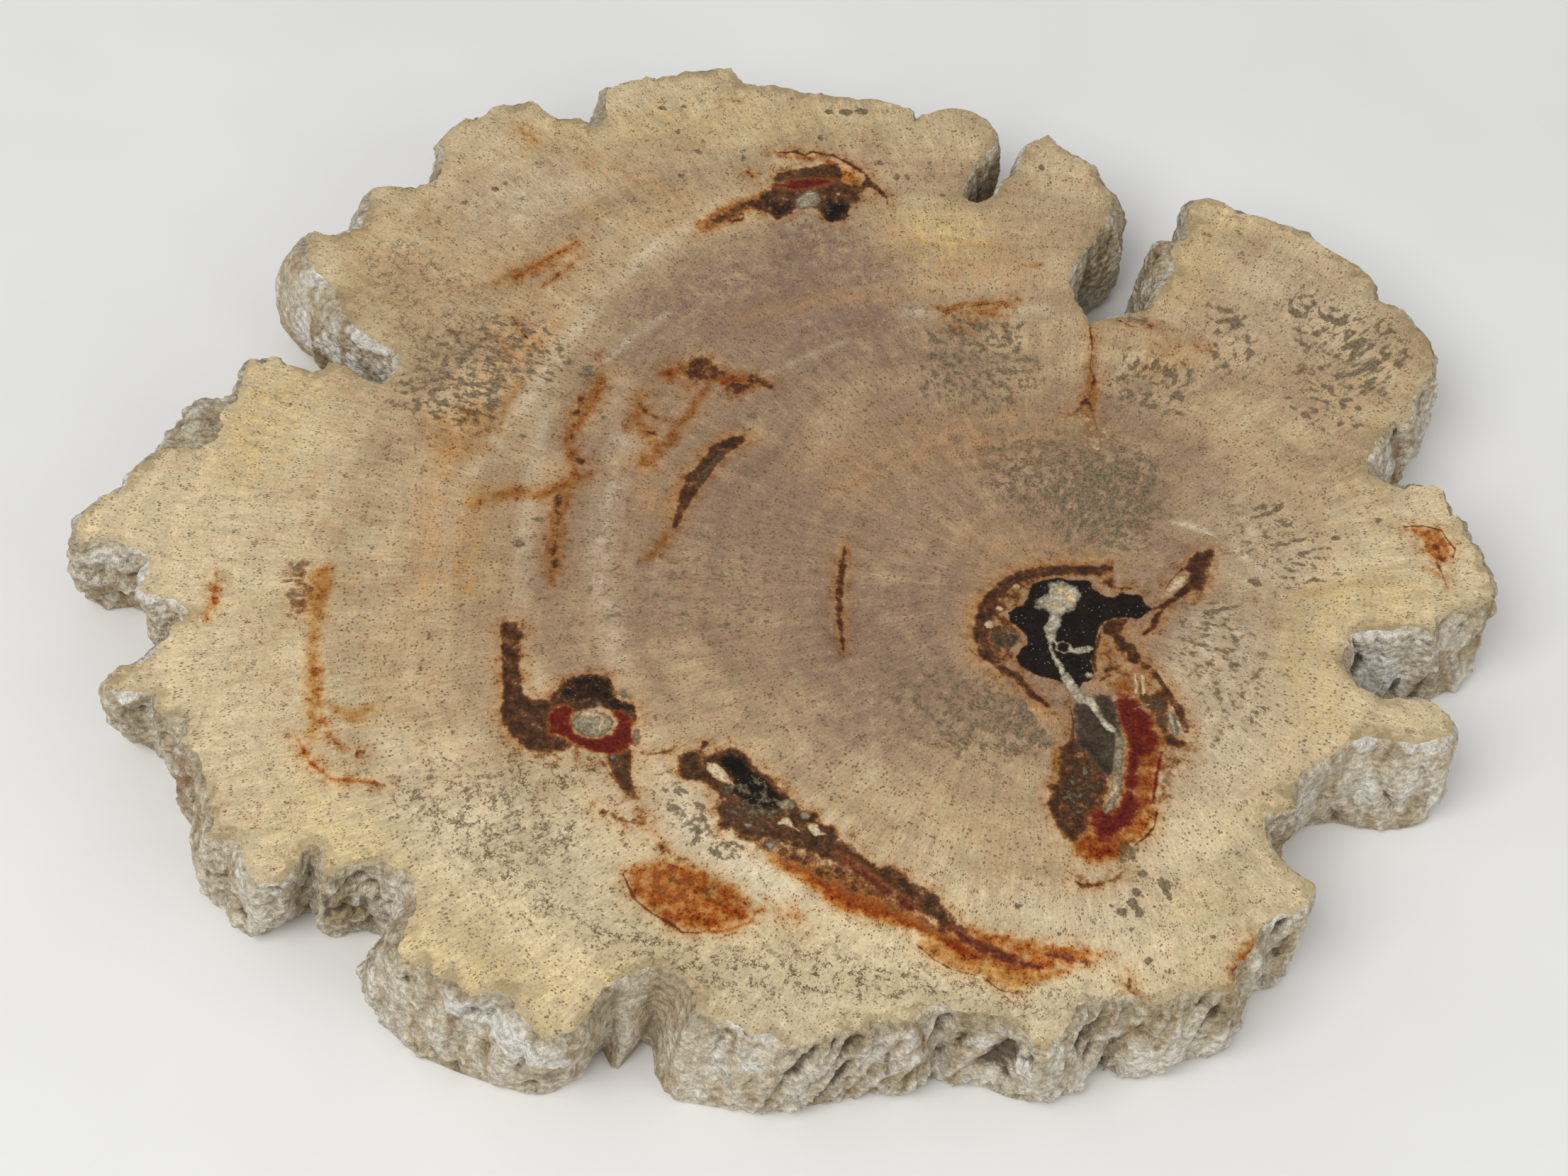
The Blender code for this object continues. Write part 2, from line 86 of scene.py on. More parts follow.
# Points of the flat faces, in millimetres: steps in plain stone, around crisp markings, along
# thin lines and on the underside, with the least gaps to the points that were there before
FACE_STEP = 1.3
FACE_GAP = 0.62
MARK_STEP = 0.58
MARK_GAP = 0.36
LINE_STEP = 0.5
LINE_GAP = 0.3
LINE_RIM_GAP = 0.35
UNDERSIDE_STEP = 2.6
UNDERSIDE_GAP = 1.0
NUDGE = 0.16
FACE_SEED, MARK_SEED, UNDERSIDE_SEED = 6, 5, 7

# A mark with an edge softer than this isn't crisp, and a line with a half width below this is thin.
# The points beside a line, and the fine points at a mark's edge, reach out by a share of its edge.
CRISP_BELOW = 1.9
THIN_BELOW = 0.6
BESIDE_LINE = 0.4
EDGE_SHARE = 0.55
EDGE_MARGIN = 0.45
MARK_MARGIN = 1.2

# Largest angle between two smooth faces of the wall
SHARPEST = math.radians(55.0)

# Rim, in millimetres: how far its points wander, the deepest chips, how steeply the two change
# along it, how much is worn off all round, and the least and greatest width and drop of its
# broken edge, which is never wider than a share of the gaps between the points
RIM_WANDER = 0.75
CHIP_DEPTH = 0.8
CHIP_NOISE = (0.62, 0.3)
RIM_SLOPE = 0.8
RIM_WEAR = 0.1
EDGE_WIDTH = (0.12, 0.4)
EDGE_DROP = (0.12, 0.5)
WIDEST_SHARE = 0.6
RIM_REACH = 3
EASINGS = 3

# Noises along the rim: length of their lumps in millimetres, and a shift that sets them apart
SHORT_WANDER = (1.1, 0.0)
LONG_WANDER = (2.9, 5.0)
CHIPS = (1.7, 9.0)
WIDTHS = (3.0, 13.0)
DROPS = (2.0, 17.0)

# Centre of the growth rings on the face, and the smallest of the bands that keep radial streaks
# equally wide from the centre to the rim, in millimetres
RING_CENTRE = (45.0, -17.0)
FIRST_BAND = 8.0

SEED = Vector((31.0, 7.0, 53.0))

# A marking on the face: a line with a half width for each point, or a closed area with none. Its
# coverage falls from full to nothing over the width called soft.
Mark = namedtuple("Mark", "layer points halves soft full")


def line(layer, halves, soft, full, *points):
    if not isinstance(halves, tuple):
        halves = (halves,) * len(points)
    return Mark(layer, points, halves, soft, full)


def area(layer, soft, full, *points):
    return Mark(layer, points, None, soft, full)


def dot(layer, x, y, radius, full=1.0, soft=0.6):
    return Mark(layer, ((x, y), (x + 0.01, y)), (radius, radius), soft, full)


def dots(layer, soft, full, *spots):
    """Dots of one kind, each given by its place and radius."""
    return [dot(layer, x, y, radius, full, soft) for x, y, radius in spots]


BIG_KNOT = (
    line("tan", 1.6, 3.0, 0.7, (56, -8), (48, -9), (41, -11), (36, -15), (32, -22), (31.5, -28), (33, -33),
         (38, -38), (43, -42.5), (48, -46)),
    line("brown", (0.9, 1.3, 1.4, 1.4, 1.4, 1.5, 1.5, 1.5, 1.5, 1.7, 1.5, 1.3, 1.1, 1.0, 0.9, 0.4), 1.2,
         1.0, (56.5, -9.8), (54, -10.6), (50, -11.2), (46, -11.4), (43.5, -12.2), (41, -13.4), (38, -15.8),
         (36, -18.5), (34.7, -22), (34.1, -25.5), (34, -28.5), (35, -31.8), (37.3, -34.2), (40.6, -36.4),
         (42.6, -39.2), (46.4, -42.4)),
    area("brown", 1.6, 0.74, (41, -13.5), (44, -13.8), (42.2, -17), (41, -20), (38.5, -22.2), (40.2, -25),
         (42, -28), (40, -30.5), (40.5, -34), (37, -33.5), (34.8, -29), (34.5, -24), (36, -19), (38, -16)),
    area("smoke", 0.8, 0.85, (38.5, -25.5), (41.4, -27.4), (39.8, -30), (36.5, -30), (36, -27)),
    dot("ivory", 35.3, -25.0, 0.9, 0.9),
    dot("ivory", 37.0, -21.3, 0.6, 0.8),
    dot("ivory", 39.8, -16.0, 0.8, 0.7),
    area("black", 0.5, 1.0, (42.5, -15.5), (44.5, -14), (47, -13), (49, -13.3), (52.8, -12.9),
         (53.2, -14.8), (55.5, -16.3), (57.5, -16.5), (58, -15.5), (60.5, -15.2), (62, -15.4), (62.5, -17),
         (64, -18.5), (62.5, -20), (61.5, -20.9), (59.5, -20.8), (57.5, -21), (55.5, -22.2), (54.5, -24),
         (54, -26.5), (53.8, -29), (53, -31), (53.5, -33.5), (53.2, -35.5), (51.5, -36.5), (51, -38),
         (49.5, -37), (47.5, -36), (44.5, -35.8), (42.5, -34.8), (40.8, -33.5), (40.2, -31.8), (40.8, -30),
         (42, -28.8), (41.8, -26.8), (40.5, -25.2), (39, -24), (38.3, -22), (39.6, -21), (41.2, -20.2),
         (42, -18)),
    area("brown", 1.0, 0.52, (53.5, -12.5), (57, -11.5), (60.5, -13.8), (58, -15.5), (54, -15.5)),
    line("brown", (0.5, 0.6, 0.3), 0.6, 0.9, (55.5, -13), (57.5, -14.2), (60, -14)),
    area("tan", 3.0, 0.55, (54, -22), (62, -22), (63, -31), (66, -36), (58, -38), (53, -36)),
    area("brown", 0.7, 1.0, (55.2, -22.2), (57, -21), (60.2, -20.6), (59.2, -22.6), (58.4, -24.6),
         (59.6, -26.2), (61, -26.6), (61.6, -28.6), (62.2, -30.6), (60.6, -31.6), (59.4, -30.4),
         (59.2, -28.8), (57.4, -28.8), (57, -26.8), (56.6, -25), (54.6, -25.2)),
    line("brown", (0.5, 0.6, 0.4, 0.5, 0.3), 0.7, 0.95, (54.6, -25), (54.2, -27.4), (53.6, -29.6),
         (53.4, -31.4), (54, -33.4)),
    line("brown", (0.3, 0.5, 0.3), 0.6, 0.85, (55.6, -33.2), (57, -32.4), (58.4, -31.4)),
    line("brown", (0.3, 0.5, 0.3), 0.6, 0.8, (54.6, -35.4), (56, -34.2), (57.4, -33.8)),
    area("brown", 1.8, 0.56, (54, -25), (57, -27), (59.4, -31), (62.6, -32), (64.6, -36), (60, -36),
         (56, -36.6), (53.8, -32)),
    area("rust", 1.6, 0.9, (57.6, -34.4), (60.2, -33.6), (60.4, -37), (59, -39), (57.2, -37.6)),
    line("brown", (0.7, 0.8, 0.7, 0.9, 0.9, 0.8, 0.7), 0.8, 1.0, (62.2, -30.8), (64, -32.6), (65.4, -35),
         (66.2, -37.4), (67.8, -39.4), (68.6, -42), (69.4, -44.6)),
    line("brown", (0.3, 0.4, 0.3), 0.6, 0.8, (61.2, -34), (61.6, -36), (61.4, -37.6)),
    area("brown", 1.0, 1.0, (60.4, -37.8), (63.4, -37), (65.6, -35.8), (67, -38.4), (66.4, -41),
         (66.2, -43.6), (67.4, -46), (70, -47.4), (67.6, -49), (65.4, -47.4), (63.8, -42.4), (61.8, -39.6)),
    area("quartz", 0.9, 1.0, (45.8, -14.3), (48, -13.9), (50.6, -14.7), (51.4, -17), (50.4, -19.4),
         (49, -20.8), (46.8, -21.4), (44, -20.6), (43.4, -18.6), (45.4, -17)),
    dot("ivory", 47.6, -15.8, 1.3, 0.8, 1.2),
    dot("ivory", 49.4, -17.6, 1.2, 0.85, 1.2),
    dot("ivory", 46.6, -19.4, 1.1, 0.8, 1.2),
    line("quartz", (1.3, 1.1, 1.2, 0.9), 0.5, 0.9, (47, -21), (46.7, -23.4), (45.9, -25), (46.2, -27)),
    line("quartz", (0.4, 0.4, 0.5, 0.7, 0.9, 1.1, 1.3), 0.5, 0.92, (46, -27), (46, -29.4), (46.8, -31.2),
         (47.8, -33), (49, -35.5), (50.3, -38), (51.2, -39.6)),
    line("quartz", 0.4, 0.5, 0.75, (48.2, -27.4), (49.4, -28), (49.5, -29.4), (48.4, -30.1), (47.2, -29.4),
         (47.1, -28), (48.2, -27.4)),
    line("quartz", 0.85, 0.5, 0.95, (50.9, -29.3), (52.4, -28.6)),
    dot("quartz", 52.6, -34.4, 0.7),
    area("smoke", 1.2, 1.0, (50, -40.5), (52.5, -40), (54, -38.6), (57, -38.2), (57.6, -42), (58.3, -46),
         (57.8, -51), (57.2, -55), (55.3, -55.5), (53, -52.5), (51, -50), (50.3, -47), (50.2, -44)),
    area("smoke", 1.4, 0.62, (61.5, -38.4), (65, -37.4), (66, -40.5), (66.4, -46), (65, -44), (63.6, -41)),
    area("ash", 0.8, 0.8, (66.4, -41), (67.8, -41.4), (68.4, -44), (67.6, -46), (66.4, -44.6)),
    line("quartz", (1.2, 1.0, 0.7, 0.6, 0.7), 0.5, 0.95, (51.2, -39.5), (53, -40), (54.2, -42.2),
         (55.5, -44.5), (56.8, -45.8)),
    line("ash", (0.5, 0.9, 0.9, 0.8, 0.9, 0.8, 0.4), 0.6, 0.9, (57.2, -46.2), (58, -48), (57.6, -52),
         (57.5, -56), (57, -59), (56.4, -61.5), (55.6, -63)),
    line("quartz", (0.5, 0.6, 0.4), 0.5, 0.8, (66.5, -41), (67.1, -43.5), (67.3, -45.5)),
    line("quartz", 0.22, 0.4, 0.85, (60.4, -40.9), (62, -39.9), (63.2, -39.6)),
    line("ivory", 0.35, 0.4, 0.95, (60.7, -33.2), (60.8, -37.2)),
    line("ivory", 0.35, 0.4, 0.95, (62, -33.6), (62.1, -37.2)),
    area("red", 1.5, 1.0, (57.4, -37.6), (59.4, -37.4), (61.8, -39.4), (63.2, -41.4), (64.2, -44.5),
         (65.2, -47), (64, -50), (62.2, -51.4), (61.4, -54), (61.2, -59), (61.8, -62.4), (59.8, -65.4),
         (57.2, -68), (55, -70), (53.6, -68), (52.4, -65.4), (52.2, -63), (54, -62), (56.6, -62.6),
         (58.3, -59), (58.7, -54), (59, -50), (58.8, -46.8), (57.6, -44.5), (57, -41)),
    line("red", (0.5, 0.6, 0.4), 0.8, 0.9, (65, -49.6), (64.2, -54), (63.4, -60.4)),
    area("rust", 1.8, 1.0, (60.5, -47), (65.4, -46.4), (65.2, -50), (64.2, -55), (63.4, -60), (63, -63),
         (61, -67), (58.6, -69.6), (56, -72.4), (52, -72.6), (50, -69), (51.4, -64.4), (55, -68),
         (58.2, -65), (60.2, -61), (60.4, -53)),
    area("amber", 1.2, 1.0, (62.4, -58), (64, -61.5), (64.3, -63.5), (63.2, -66.2), (61.4, -68.2),
         (59.2, -69.6), (58.4, -72), (56.5, -73.4), (54, -73.8), (50.6, -73), (49.2, -70.6), (50, -67.5),
         (54, -70), (58.2, -68), (61, -65)),
    line("amber", (0.6, 0.9, 0.6), 1.0, 0.95, (62.6, -41.6), (64.2, -44), (65.6, -46.2)),
    line("brown", (0.3, 0.3, 0.4, 0.3), 0.5, 0.9, (64, -62), (63.6, -65), (62, -67.5), (60.2, -69.2)),
    area("grey", 1.0, 0.72, (58.6, -68.5), (60.5, -67.3), (61, -70), (59.8, -73), (57.4, -74), (57.2, -71)),
    line("brown", (0.3, 0.5, 0.6, 0.7, 0.6, 0.4), 1.0, 0.72, (48, -76), (49.5, -77.2), (52, -78),
         (54.5, -77.6), (57, -76.2), (58.8, -74.4)),
    area("brown", 3.0, 0.42, (50, -73.5), (57, -74), (59, -74), (57, -77), (51, -78)),
    area("brown", 1.0, 1.0, (47.4, -50.5), (50.3, -47.6), (53, -50), (56.4, -54), (56, -58.6),
         (55.3, -62.3), (53.2, -64.5), (52.4, -67.5), (50.6, -70), (48.6, -69), (47.1, -66), (45.7, -62.4),
         (46, -59), (47.6, -56), (47.6, -53.4)),
    area("black", 1.8, 0.5, (48, -54), (53, -52), (56, -57), (54.4, -63), (51, -68.4), (47.6, -65),
         (47, -59)),
    area("ash", 1.8, 0.36, (49, -53), (54, -52), (56, -56), (54, -62), (50, -67.6), (47.4, -63),
         (48.4, -57)),
    line("ivory", (0.4, 0.7, 0.4), 0.8, 0.7, (57.6, -55), (56.8, -58.4), (55.8, -60.8)),
    line("amber", (0.8, 1.0, 0.6), 1.2, 0.8, (47.6, -49.8), (47.3, -53), (46.6, -57.5)),
    line("brown", (0.3, 0.35, 0.5), 0.5, 0.95, (49.5, -41.6), (50.1, -45), (50, -48.6)),
    area("brown", 2.0, 0.55, (65, -46), (70, -45.5), (71.5, -48.5), (68.5, -52), (66.3, -56), (66, -60.5),
         (64, -60), (64.4, -53)),
    area("grey", 1.5, 0.5, (65, -47), (69, -46), (68, -52), (66, -61), (64.4, -60), (65, -52)),
    area("brown", 0.7, 1.0, (70.3, -6.4), (71.6, -4.2), (74, -3.1), (75.7, -3.3), (75, -5.2), (74.1, -8),
         (73.9, -10.5), (72.4, -13), (70, -14), (69.2, -13), (70.1, -10.8), (70.3, -9.4), (69.3, -8.6)),
    line("brown", (0.35, 0.6, 0.8, 0.9), 0.6, 1.0, (63.5, -18.5), (66.2, -17), (68.4, -14.8),
         (70.3, -12.6)),
    line("brown", (0.4, 0.7, 0.7, 0.25), 0.6, 0.95, (66.4, -17), (64.7, -20), (63.6, -22.6), (62.2, -24.3)),
    line("brown", (0.2, 0.3, 0.5), 0.4, 0.9, (66.3, -13.4), (67.6, -10.6), (69.6, -8.4)),
    line("brown", (0.5, 0.35), 0.7, 0.7, (73.2, -12), (72.2, -14.6)),
    line("amber", 0.7, 1.4, 0.8, (72.6, -14), (71.6, -16)),
    line("tan", 1.2, 2.0, 0.8, (64, -22), (66.5, -19.5), (70, -16), (73, -12.5)),
    area("ivory", 0.6, 0.95, (66.6, -12.8), (67.8, -10.8), (69.9, -9.6), (70, -10.9), (69.1, -12.7),
         (67.8, -13.9), (66.5, -15.6), (65.9, -15)),
    area("pale", 6.0, 0.5, (70, -18), (82, -16), (86, -34), (80, -60), (68, -66), (66, -46), (66, -30)),
    area("grey", 4.0, 0.6, (37, -38), (41, -40), (46, -48), (47.5, -52), (42, -52), (36, -47), (33, -42)),
    line("grey", 1.6, 1.4, 0.8, (40.5, -42), (43, -46.5), (45.5, -49.5)),
)

LONG_STREAK = (
    area("brown", 0.9, 1.0, (-15.8, -58.6), (-12.6, -57.6), (-11, -58.4), (-7.2, -56), (-5.6, -56.6),
         (-2, -60.3), (3, -64.5), (5.4, -68), (8.4, -68.2), (8, -69.8), (11, -71), (13, -73.5), (16, -76),
         (18.5, -78.2), (20, -77), (24, -80), (28, -82), (30, -85), (33, -88.2), (35, -90), (34, -91.4),
         (30, -89), (25, -86), (20, -82.6), (14, -79.4), (8, -76.6), (2, -75), (-3, -74.4), (-7.9, -73.5),
         (-8, -71.5), (-9.3, -69.3), (-8.2, -67.5), (-9, -65.5), (-11.5, -64.2), (-14.8, -64.2),
         (-15.9, -61)),
    area("brown", 2.4, 0.72, (-8, -72), (2, -74), (10, -76.6), (18, -80.4), (26, -86), (33, -91), (28, -90),
         (21, -86.4), (14, -83.6), (8, -81), (2, -78), (-5, -75.4)),
    line("brown", (0.5, 0.7), 0.6, 0.9, (-12.2, -58), (-11.6, -56.2)),
    area("black", 1.3, 1.0, (-9.6, -59.2), (-7.2, -57.6), (-5.6, -58.2), (-2, -61.8), (1.6, -65),
         (3, -67.4), (0.6, -68.8), (-3.4, -68.2), (-6.4, -66), (-6.6, -63), (-8.4, -60.6)),
    line("black", (0.8, 1.0, 0.7), 1.8, 0.6, (-13.8, -60), (-13, -62), (-12, -63.4)),
    line("black", (0.5, 0.8, 0.8, 0.5), 2.0, 0.6, (14, -74.8), (19, -78.6), (24, -81.4), (29, -85.4)),
    line("plum", (0.6, 1.2, 1.3, 1.2, 0.8), 2.0, 0.9, (11.6, -76), (15, -78.6), (18.6, -81.6),
         (22.6, -84.4), (26, -87)),
    area("ash", 2.0, 0.42, (-9, -61), (-3, -61), (3, -67), (3, -72), (-6, -72.6), (-8, -68)),
    area("ivory", 0.5, 1.0, (-11, -60.2), (-9.5, -60), (-8, -61.2), (-6.8, -62.8), (-6, -64), (-8, -64),
         (-9.5, -62.8), (-10.8, -61.6)),
    line("ivory", (0.4, 0.8, 0.3), 0.4, 1.0, (1.9, -71), (3.1, -70.4), (4, -71.6)),
    area("ivory", 0.4, 1.0, (6.3, -70.4), (8, -70.5), (8.5, -71.7), (10, -72.4), (8, -72.9), (6.6, -71.8)),
    line("ivory", 0.2, 0.3, 0.8, (4.3, -71.6), (5.5, -72.4)),
    line("amber", 0.2, 0.5, 0.8, (8, -72.8), (6.3, -75.5)),
    dot("ash", 3.0, -67.2, 1.2, 0.95),
    dot("ash", 6.0, -69.0, 0.8, 0.9),
    area("quartz", 1.5, 0.55, (-0.5, -74), (2.5, -74.4), (3, -77.6), (0.5, -77.8)),
    line("quartz", 0.7, 1.2, 0.5, (-3, -72), (-1, -72.6)),
    line("grey", (0.4, 0.6, 0.6, 0.8), 0.8, 0.75, (11.5, -72.6), (14.5, -75.6), (17, -77.8), (19.5, -79.3)),
    area("amber", 1.1, 1.0, (0, -76.6), (5, -76), (9, -77.5), (12, -79.5), (16, -81), (20, -83), (24, -85),
         (28, -87.5), (32, -90), (36, -92.5), (42, -94), (47, -94.3), (51, -93.2), (53.5, -92.4),
         (49.5, -94.8), (48, -96.5), (44, -98), (41.5, -99.6), (39.6, -99.4), (36, -97.2), (31, -96.3),
         (28.5, -95), (26.3, -93.3), (25.2, -92.2), (26.4, -90.5), (24, -89.3), (20, -88.8), (15.5, -88),
         (12, -87), (9, -84.5), (6.5, -82), (3, -80.4), (0, -79)),
    area("rust", 2.0, 1.0, (2, -77), (8, -78.4), (14, -81), (20, -84), (27, -87.6), (34, -91), (38, -94.4),
         (33, -94), (27, -90.6), (22, -88.6), (16, -87.2), (11.6, -85.4), (8, -82.4), (4, -80)),
    line("red", (0.5, 0.8, 0.5), 1.8, 0.62, (10.6, -82.2), (15, -84.8), (19.6, -86.4)),
    area("rust", 1.2, 0.85, (31, -87.8), (35, -88), (40, -88.8), (48, -89.9), (54, -89.8), (55.4, -90.8),
         (53.5, -92.6), (50, -94), (44, -95.8), (38, -95), (33, -92.6)),
    line("plum", (0.6, 1.4, 1.6, 1.3, 0.9, 0.5), 1.8, 0.95, (30.8, -88.5), (33.8, -90.8), (37, -92.2),
         (40, -93.4), (43, -94.2), (45, -94.6)),
    line("plum", (0.5, 0.8, 0.7, 0.4), 1.2, 0.75, (45, -91.8), (48.5, -92.2), (51, -92.8), (53, -92.6)),
    line("brown", 0.22, 0.5, 0.72, (25.3, -92.2), (28.5, -95), (31, -96.3), (36, -97.2), (38.8, -99.4),
         (41.6, -99.7)),
    area("tan", 1.6, 1.0, (-22, -83), (-20, -88.5), (-16, -91.5), (-12, -93.6), (-6, -93), (-1.4, -90.6),
         (-2, -86.8), (-4.2, -83.8), (-9.5, -81.6), (-16, -80), (-20, -81.8)),
    area("amber", 1.2, 0.85, (-22, -83), (-20, -88.5), (-16, -91.5), (-12, -93.6), (-6, -93), (-1.4, -90.6),
         (-2, -86.8), (-4.2, -83.8), (-9.5, -81.6), (-16, -80), (-20, -81.8)),
    area("rust", 1.4, 0.66, (-22.3, -83.7), (-21.3, -86), (-20, -88.5), (-17.8, -89.8), (-16, -91.5),
         (-14, -92.6), (-12, -94), (-9.5, -93.6), (-6, -93.1), (-3.5, -92), (-1.2, -90.6), (-0.6, -88.6),
         (0.2, -88), (2.2, -88.4), (1, -86.5), (-2, -86.5), (-4, -87.2), (-3, -85.2), (-4.2, -83.8),
         (-7.5, -84), (-9.5, -81.5), (-12, -80.5), (-16, -79.8), (-20, -81.8), (-22, -82.6)),
    area("brown", 2.5, 0.3, (-21, -83), (-14, -81), (-11, -84), (-10, -88), (-12, -90), (-18, -87)),
    area("grey", 2.0, 0.38, (-17, -83), (-13, -81), (-8, -84), (-4, -84), (-4, -89), (-9, -89), (-14, -86)),
    line("plum", (0.2, 0.35, 0.35, 0.5, 0.3, 0.2), 0.4, 0.9, (-22.4, -83.8), (-20.2, -88.3), (-17, -90.8),
         (-13.4, -92.6), (-12, -93.8), (-9, -93.6)),
    line("rust", 0.3, 0.6, 0.9, (-9.5, -93.5), (-6, -93), (-3.5, -92), (-1.2, -90.6), (-0.6, -88.7),
         (0.8, -88)),
    area("rust", 1.4, 0.45, (1.8, -88.5), (3, -86), (5, -86.4), (7, -87), (8, -89), (7.6, -91.4),
         (5, -91.5), (3.5, -90), (2, -89.3)),
    line("rust", (1.2, 1.5, 1.6, 1.3, 0.8), 2.0, 0.45, (-24, -69), (-20.5, -71.5), (-19, -75),
         (-15.5, -78.5), (-11.5, -81)),
    line("brown", (0.6, 0.9, 0.9, 0.6), 1.2, 0.62, (-28.6, -70.5), (-26, -72.5), (-22.5, -73.5),
         (-18.8, -73)),
    line("brown", (0.8, 0.8, 1.0, 0.5), 1.6, 0.5, (-22, -75), (-18, -77), (-14.5, -79.5), (-10.5, -81.4)),
    area("pale", 4.0, 0.9, (-18, -62), (-11, -66), (-9, -72), (-2, -77), (4, -82), (10, -87), (0, -86),
         (-6, -82), (-14, -77), (-18, -70)),
    area("grey", 2.5, 0.52, (-19, -60), (-15, -65), (-9, -70), (-8, -74), (-3, -76), (-3, -79), (-8, -80),
         (-13, -76), (-18, -70)),
    area("tan", 3.0, 0.6, (-14.5, -64.5), (-10, -65), (-8.5, -69.5), (-11, -70), (-13, -67)),
    area("khaki", 3.0, 0.45, (-52, -78), (-36, -76), (-32, -86), (-46, -88)),
)

LEFT_KNOT = (
    line("tan", 1.1, 1.4, 0.9, (-47.8, -36), (-47.4, -42), (-46.4, -50), (-45.4, -55.5), (-42.5, -60)),
    line("brown", (0.7, 0.9, 1.3, 1.5, 1.7, 2.0, 1.8), 0.9, 1.0, (-48, -34.8), (-47.5, -37), (-46.6, -40),
         (-45.8, -43.5), (-45, -47), (-44.4, -50), (-43.6, -52)),
    line("brown", (1.5, 1.7, 1.5, 1.1), 1.8, 0.92, (-46.2, -35.2), (-45.8, -37), (-45.6, -41), (-45, -47)),
    line("brown", 0.35, 0.6, 0.8, (-47.6, -34.3), (-46.2, -34), (-44.9, -34.4), (-44.6, -36.4)),
    area("brown", 0.8, 1.0, (-46, -48.4), (-43.2, -48.4), (-41.6, -49.6), (-39, -49.8), (-37, -50.4),
         (-36.6, -53), (-36.8, -56.4), (-35, -57.6), (-32.6, -59), (-34.4, -60.6), (-38, -61), (-41, -60.8),
         (-43.6, -58.8), (-45.4, -56.4), (-46.6, -53)),
    area("brown", 0.6, 1.0, (-38.8, -50), (-37.8, -48), (-36.5, -46), (-35, -44.5), (-33, -43.6),
         (-30.5, -43.4), (-28.6, -44.2), (-27.5, -46.5), (-26.8, -48.4), (-24, -49.5), (-23.2, -51.5),
         (-23.6, -53.5), (-26, -53), (-28, -51), (-31, -50.5), (-34, -52.5), (-36, -51), (-38, -51.6)),
    area("black", 2.2, 0.66, (-38, -50), (-36.6, -46.6), (-34.6, -44.2), (-31, -43.4), (-28.4, -44.4),
         (-26.8, -48), (-23.6, -50), (-23.8, -53), (-27, -51), (-31, -49.6), (-35, -51)),
    area("black", 1.8, 0.66, (-36.8, -47.5), (-35, -45), (-32, -44), (-29, -44.4), (-28, -46.5),
         (-28.5, -48), (-30.5, -48), (-31, -50.5), (-34, -50.8), (-35, -49.5)),
    line("smoke", (0.8, 0.8), 0.8, 0.9, (-31.6, -48.2), (-30.6, -50.2)),
    area("red", 0.9, 1.0, (-37.8, -51.5), (-35.4, -50.4), (-34, -51.6), (-34.4, -54.5), (-33, -56.5),
         (-30, -57.2), (-27.2, -55.8), (-26.6, -53), (-27.4, -51), (-26, -50.6), (-24.2, -51.8),
         (-23.9, -54), (-23.5, -57), (-24, -59), (-25.5, -60), (-28, -60.2), (-30.5, -60), (-32.5, -58.8),
         (-34.5, -57.6), (-37.8, -57.2), (-38.1, -54)),
    area("ash", 0.5, 1.0, (-32.5, -51.2), (-30, -51), (-28.2, -52), (-26.9, -53.5), (-27.6, -55.2),
         (-29, -56.7), (-31.5, -57), (-33.2, -56), (-34, -54.2), (-33.4, -52.5)),
    line("ivory", (0.4, 0.8, 0.6), 0.6, 0.85, (-32.6, -52.4), (-31, -51.8), (-29.4, -52.4)),
    line("ivory", (0.3, 0.4, 0.3), 0.6, 0.75, (-28.9, -53), (-29.3, -54.4), (-29.2, -55.6)),
    line("quartz", 0.3, 0.6, 0.6, (-33.2, -53.6), (-32.6, -55.6), (-31, -56.5), (-29, -56.2),
         (-27.6, -54.4)),
    dot("smoke", -31.3, -54.2, 0.5, 0.8),
    line("amber", (0.4, 0.7, 0.3), 0.6, 1.0, (-30.3, -48.3), (-29.4, -49.5), (-28.2, -50.8)),
    area("crackle", 2.4, 1.0, (-45, -58.5), (-38, -59), (-33, -58.4), (-27.6, -60), (-27, -64), (-31, -67),
         (-36, -68.4), (-42, -70), (-46, -69), (-44.5, -64)),
    area("brown", 1.8, 0.5, (-44.5, -58.5), (-38, -59.3), (-33, -58.4), (-29, -60), (-30, -62.4),
         (-36, -62.6), (-42, -62.4)),
    area("khaki", 4.0, 0.55, (-44, -60), (-38, -59.5), (-30, -60), (-29, -66), (-36, -68), (-42, -70),
         (-46, -69), (-44, -64)),
    line("brown", (2.0, 1.9, 1.6, 1.3, 0.6), 0.9, 1.0, (-25.6, -59.3), (-25.2, -62), (-24.6, -64.4),
         (-23.6, -66.5), (-22.3, -68.3)),
    line("plum", 0.4, 0.8, 0.7, (-29, -60.5), (-27.4, -63), (-25, -66)),
    line("quartz", 0.7, 1.2, 0.5, (-26.2, -60.5), (-25.4, -62)),
    line("brown", 0.5, 1.0, 0.6, (-23.4, -59), (-20, -59.4), (-17, -58.2)),
    area("pale", 3.0, 0.8, (-28, -64), (-25.4, -67.5), (-22, -70), (-24.5, -71), (-28, -68)),
    line("grey", 0.8, 1.0, 0.8, (-23.2, -54.5), (-22.8, -57)),
    line("grey", 0.8, 1.2, 0.7, (-26.5, -47), (-24.5, -49)),
    dot("grey", -35.0, -32.8, 1.0, 0.6, 1.5),
)

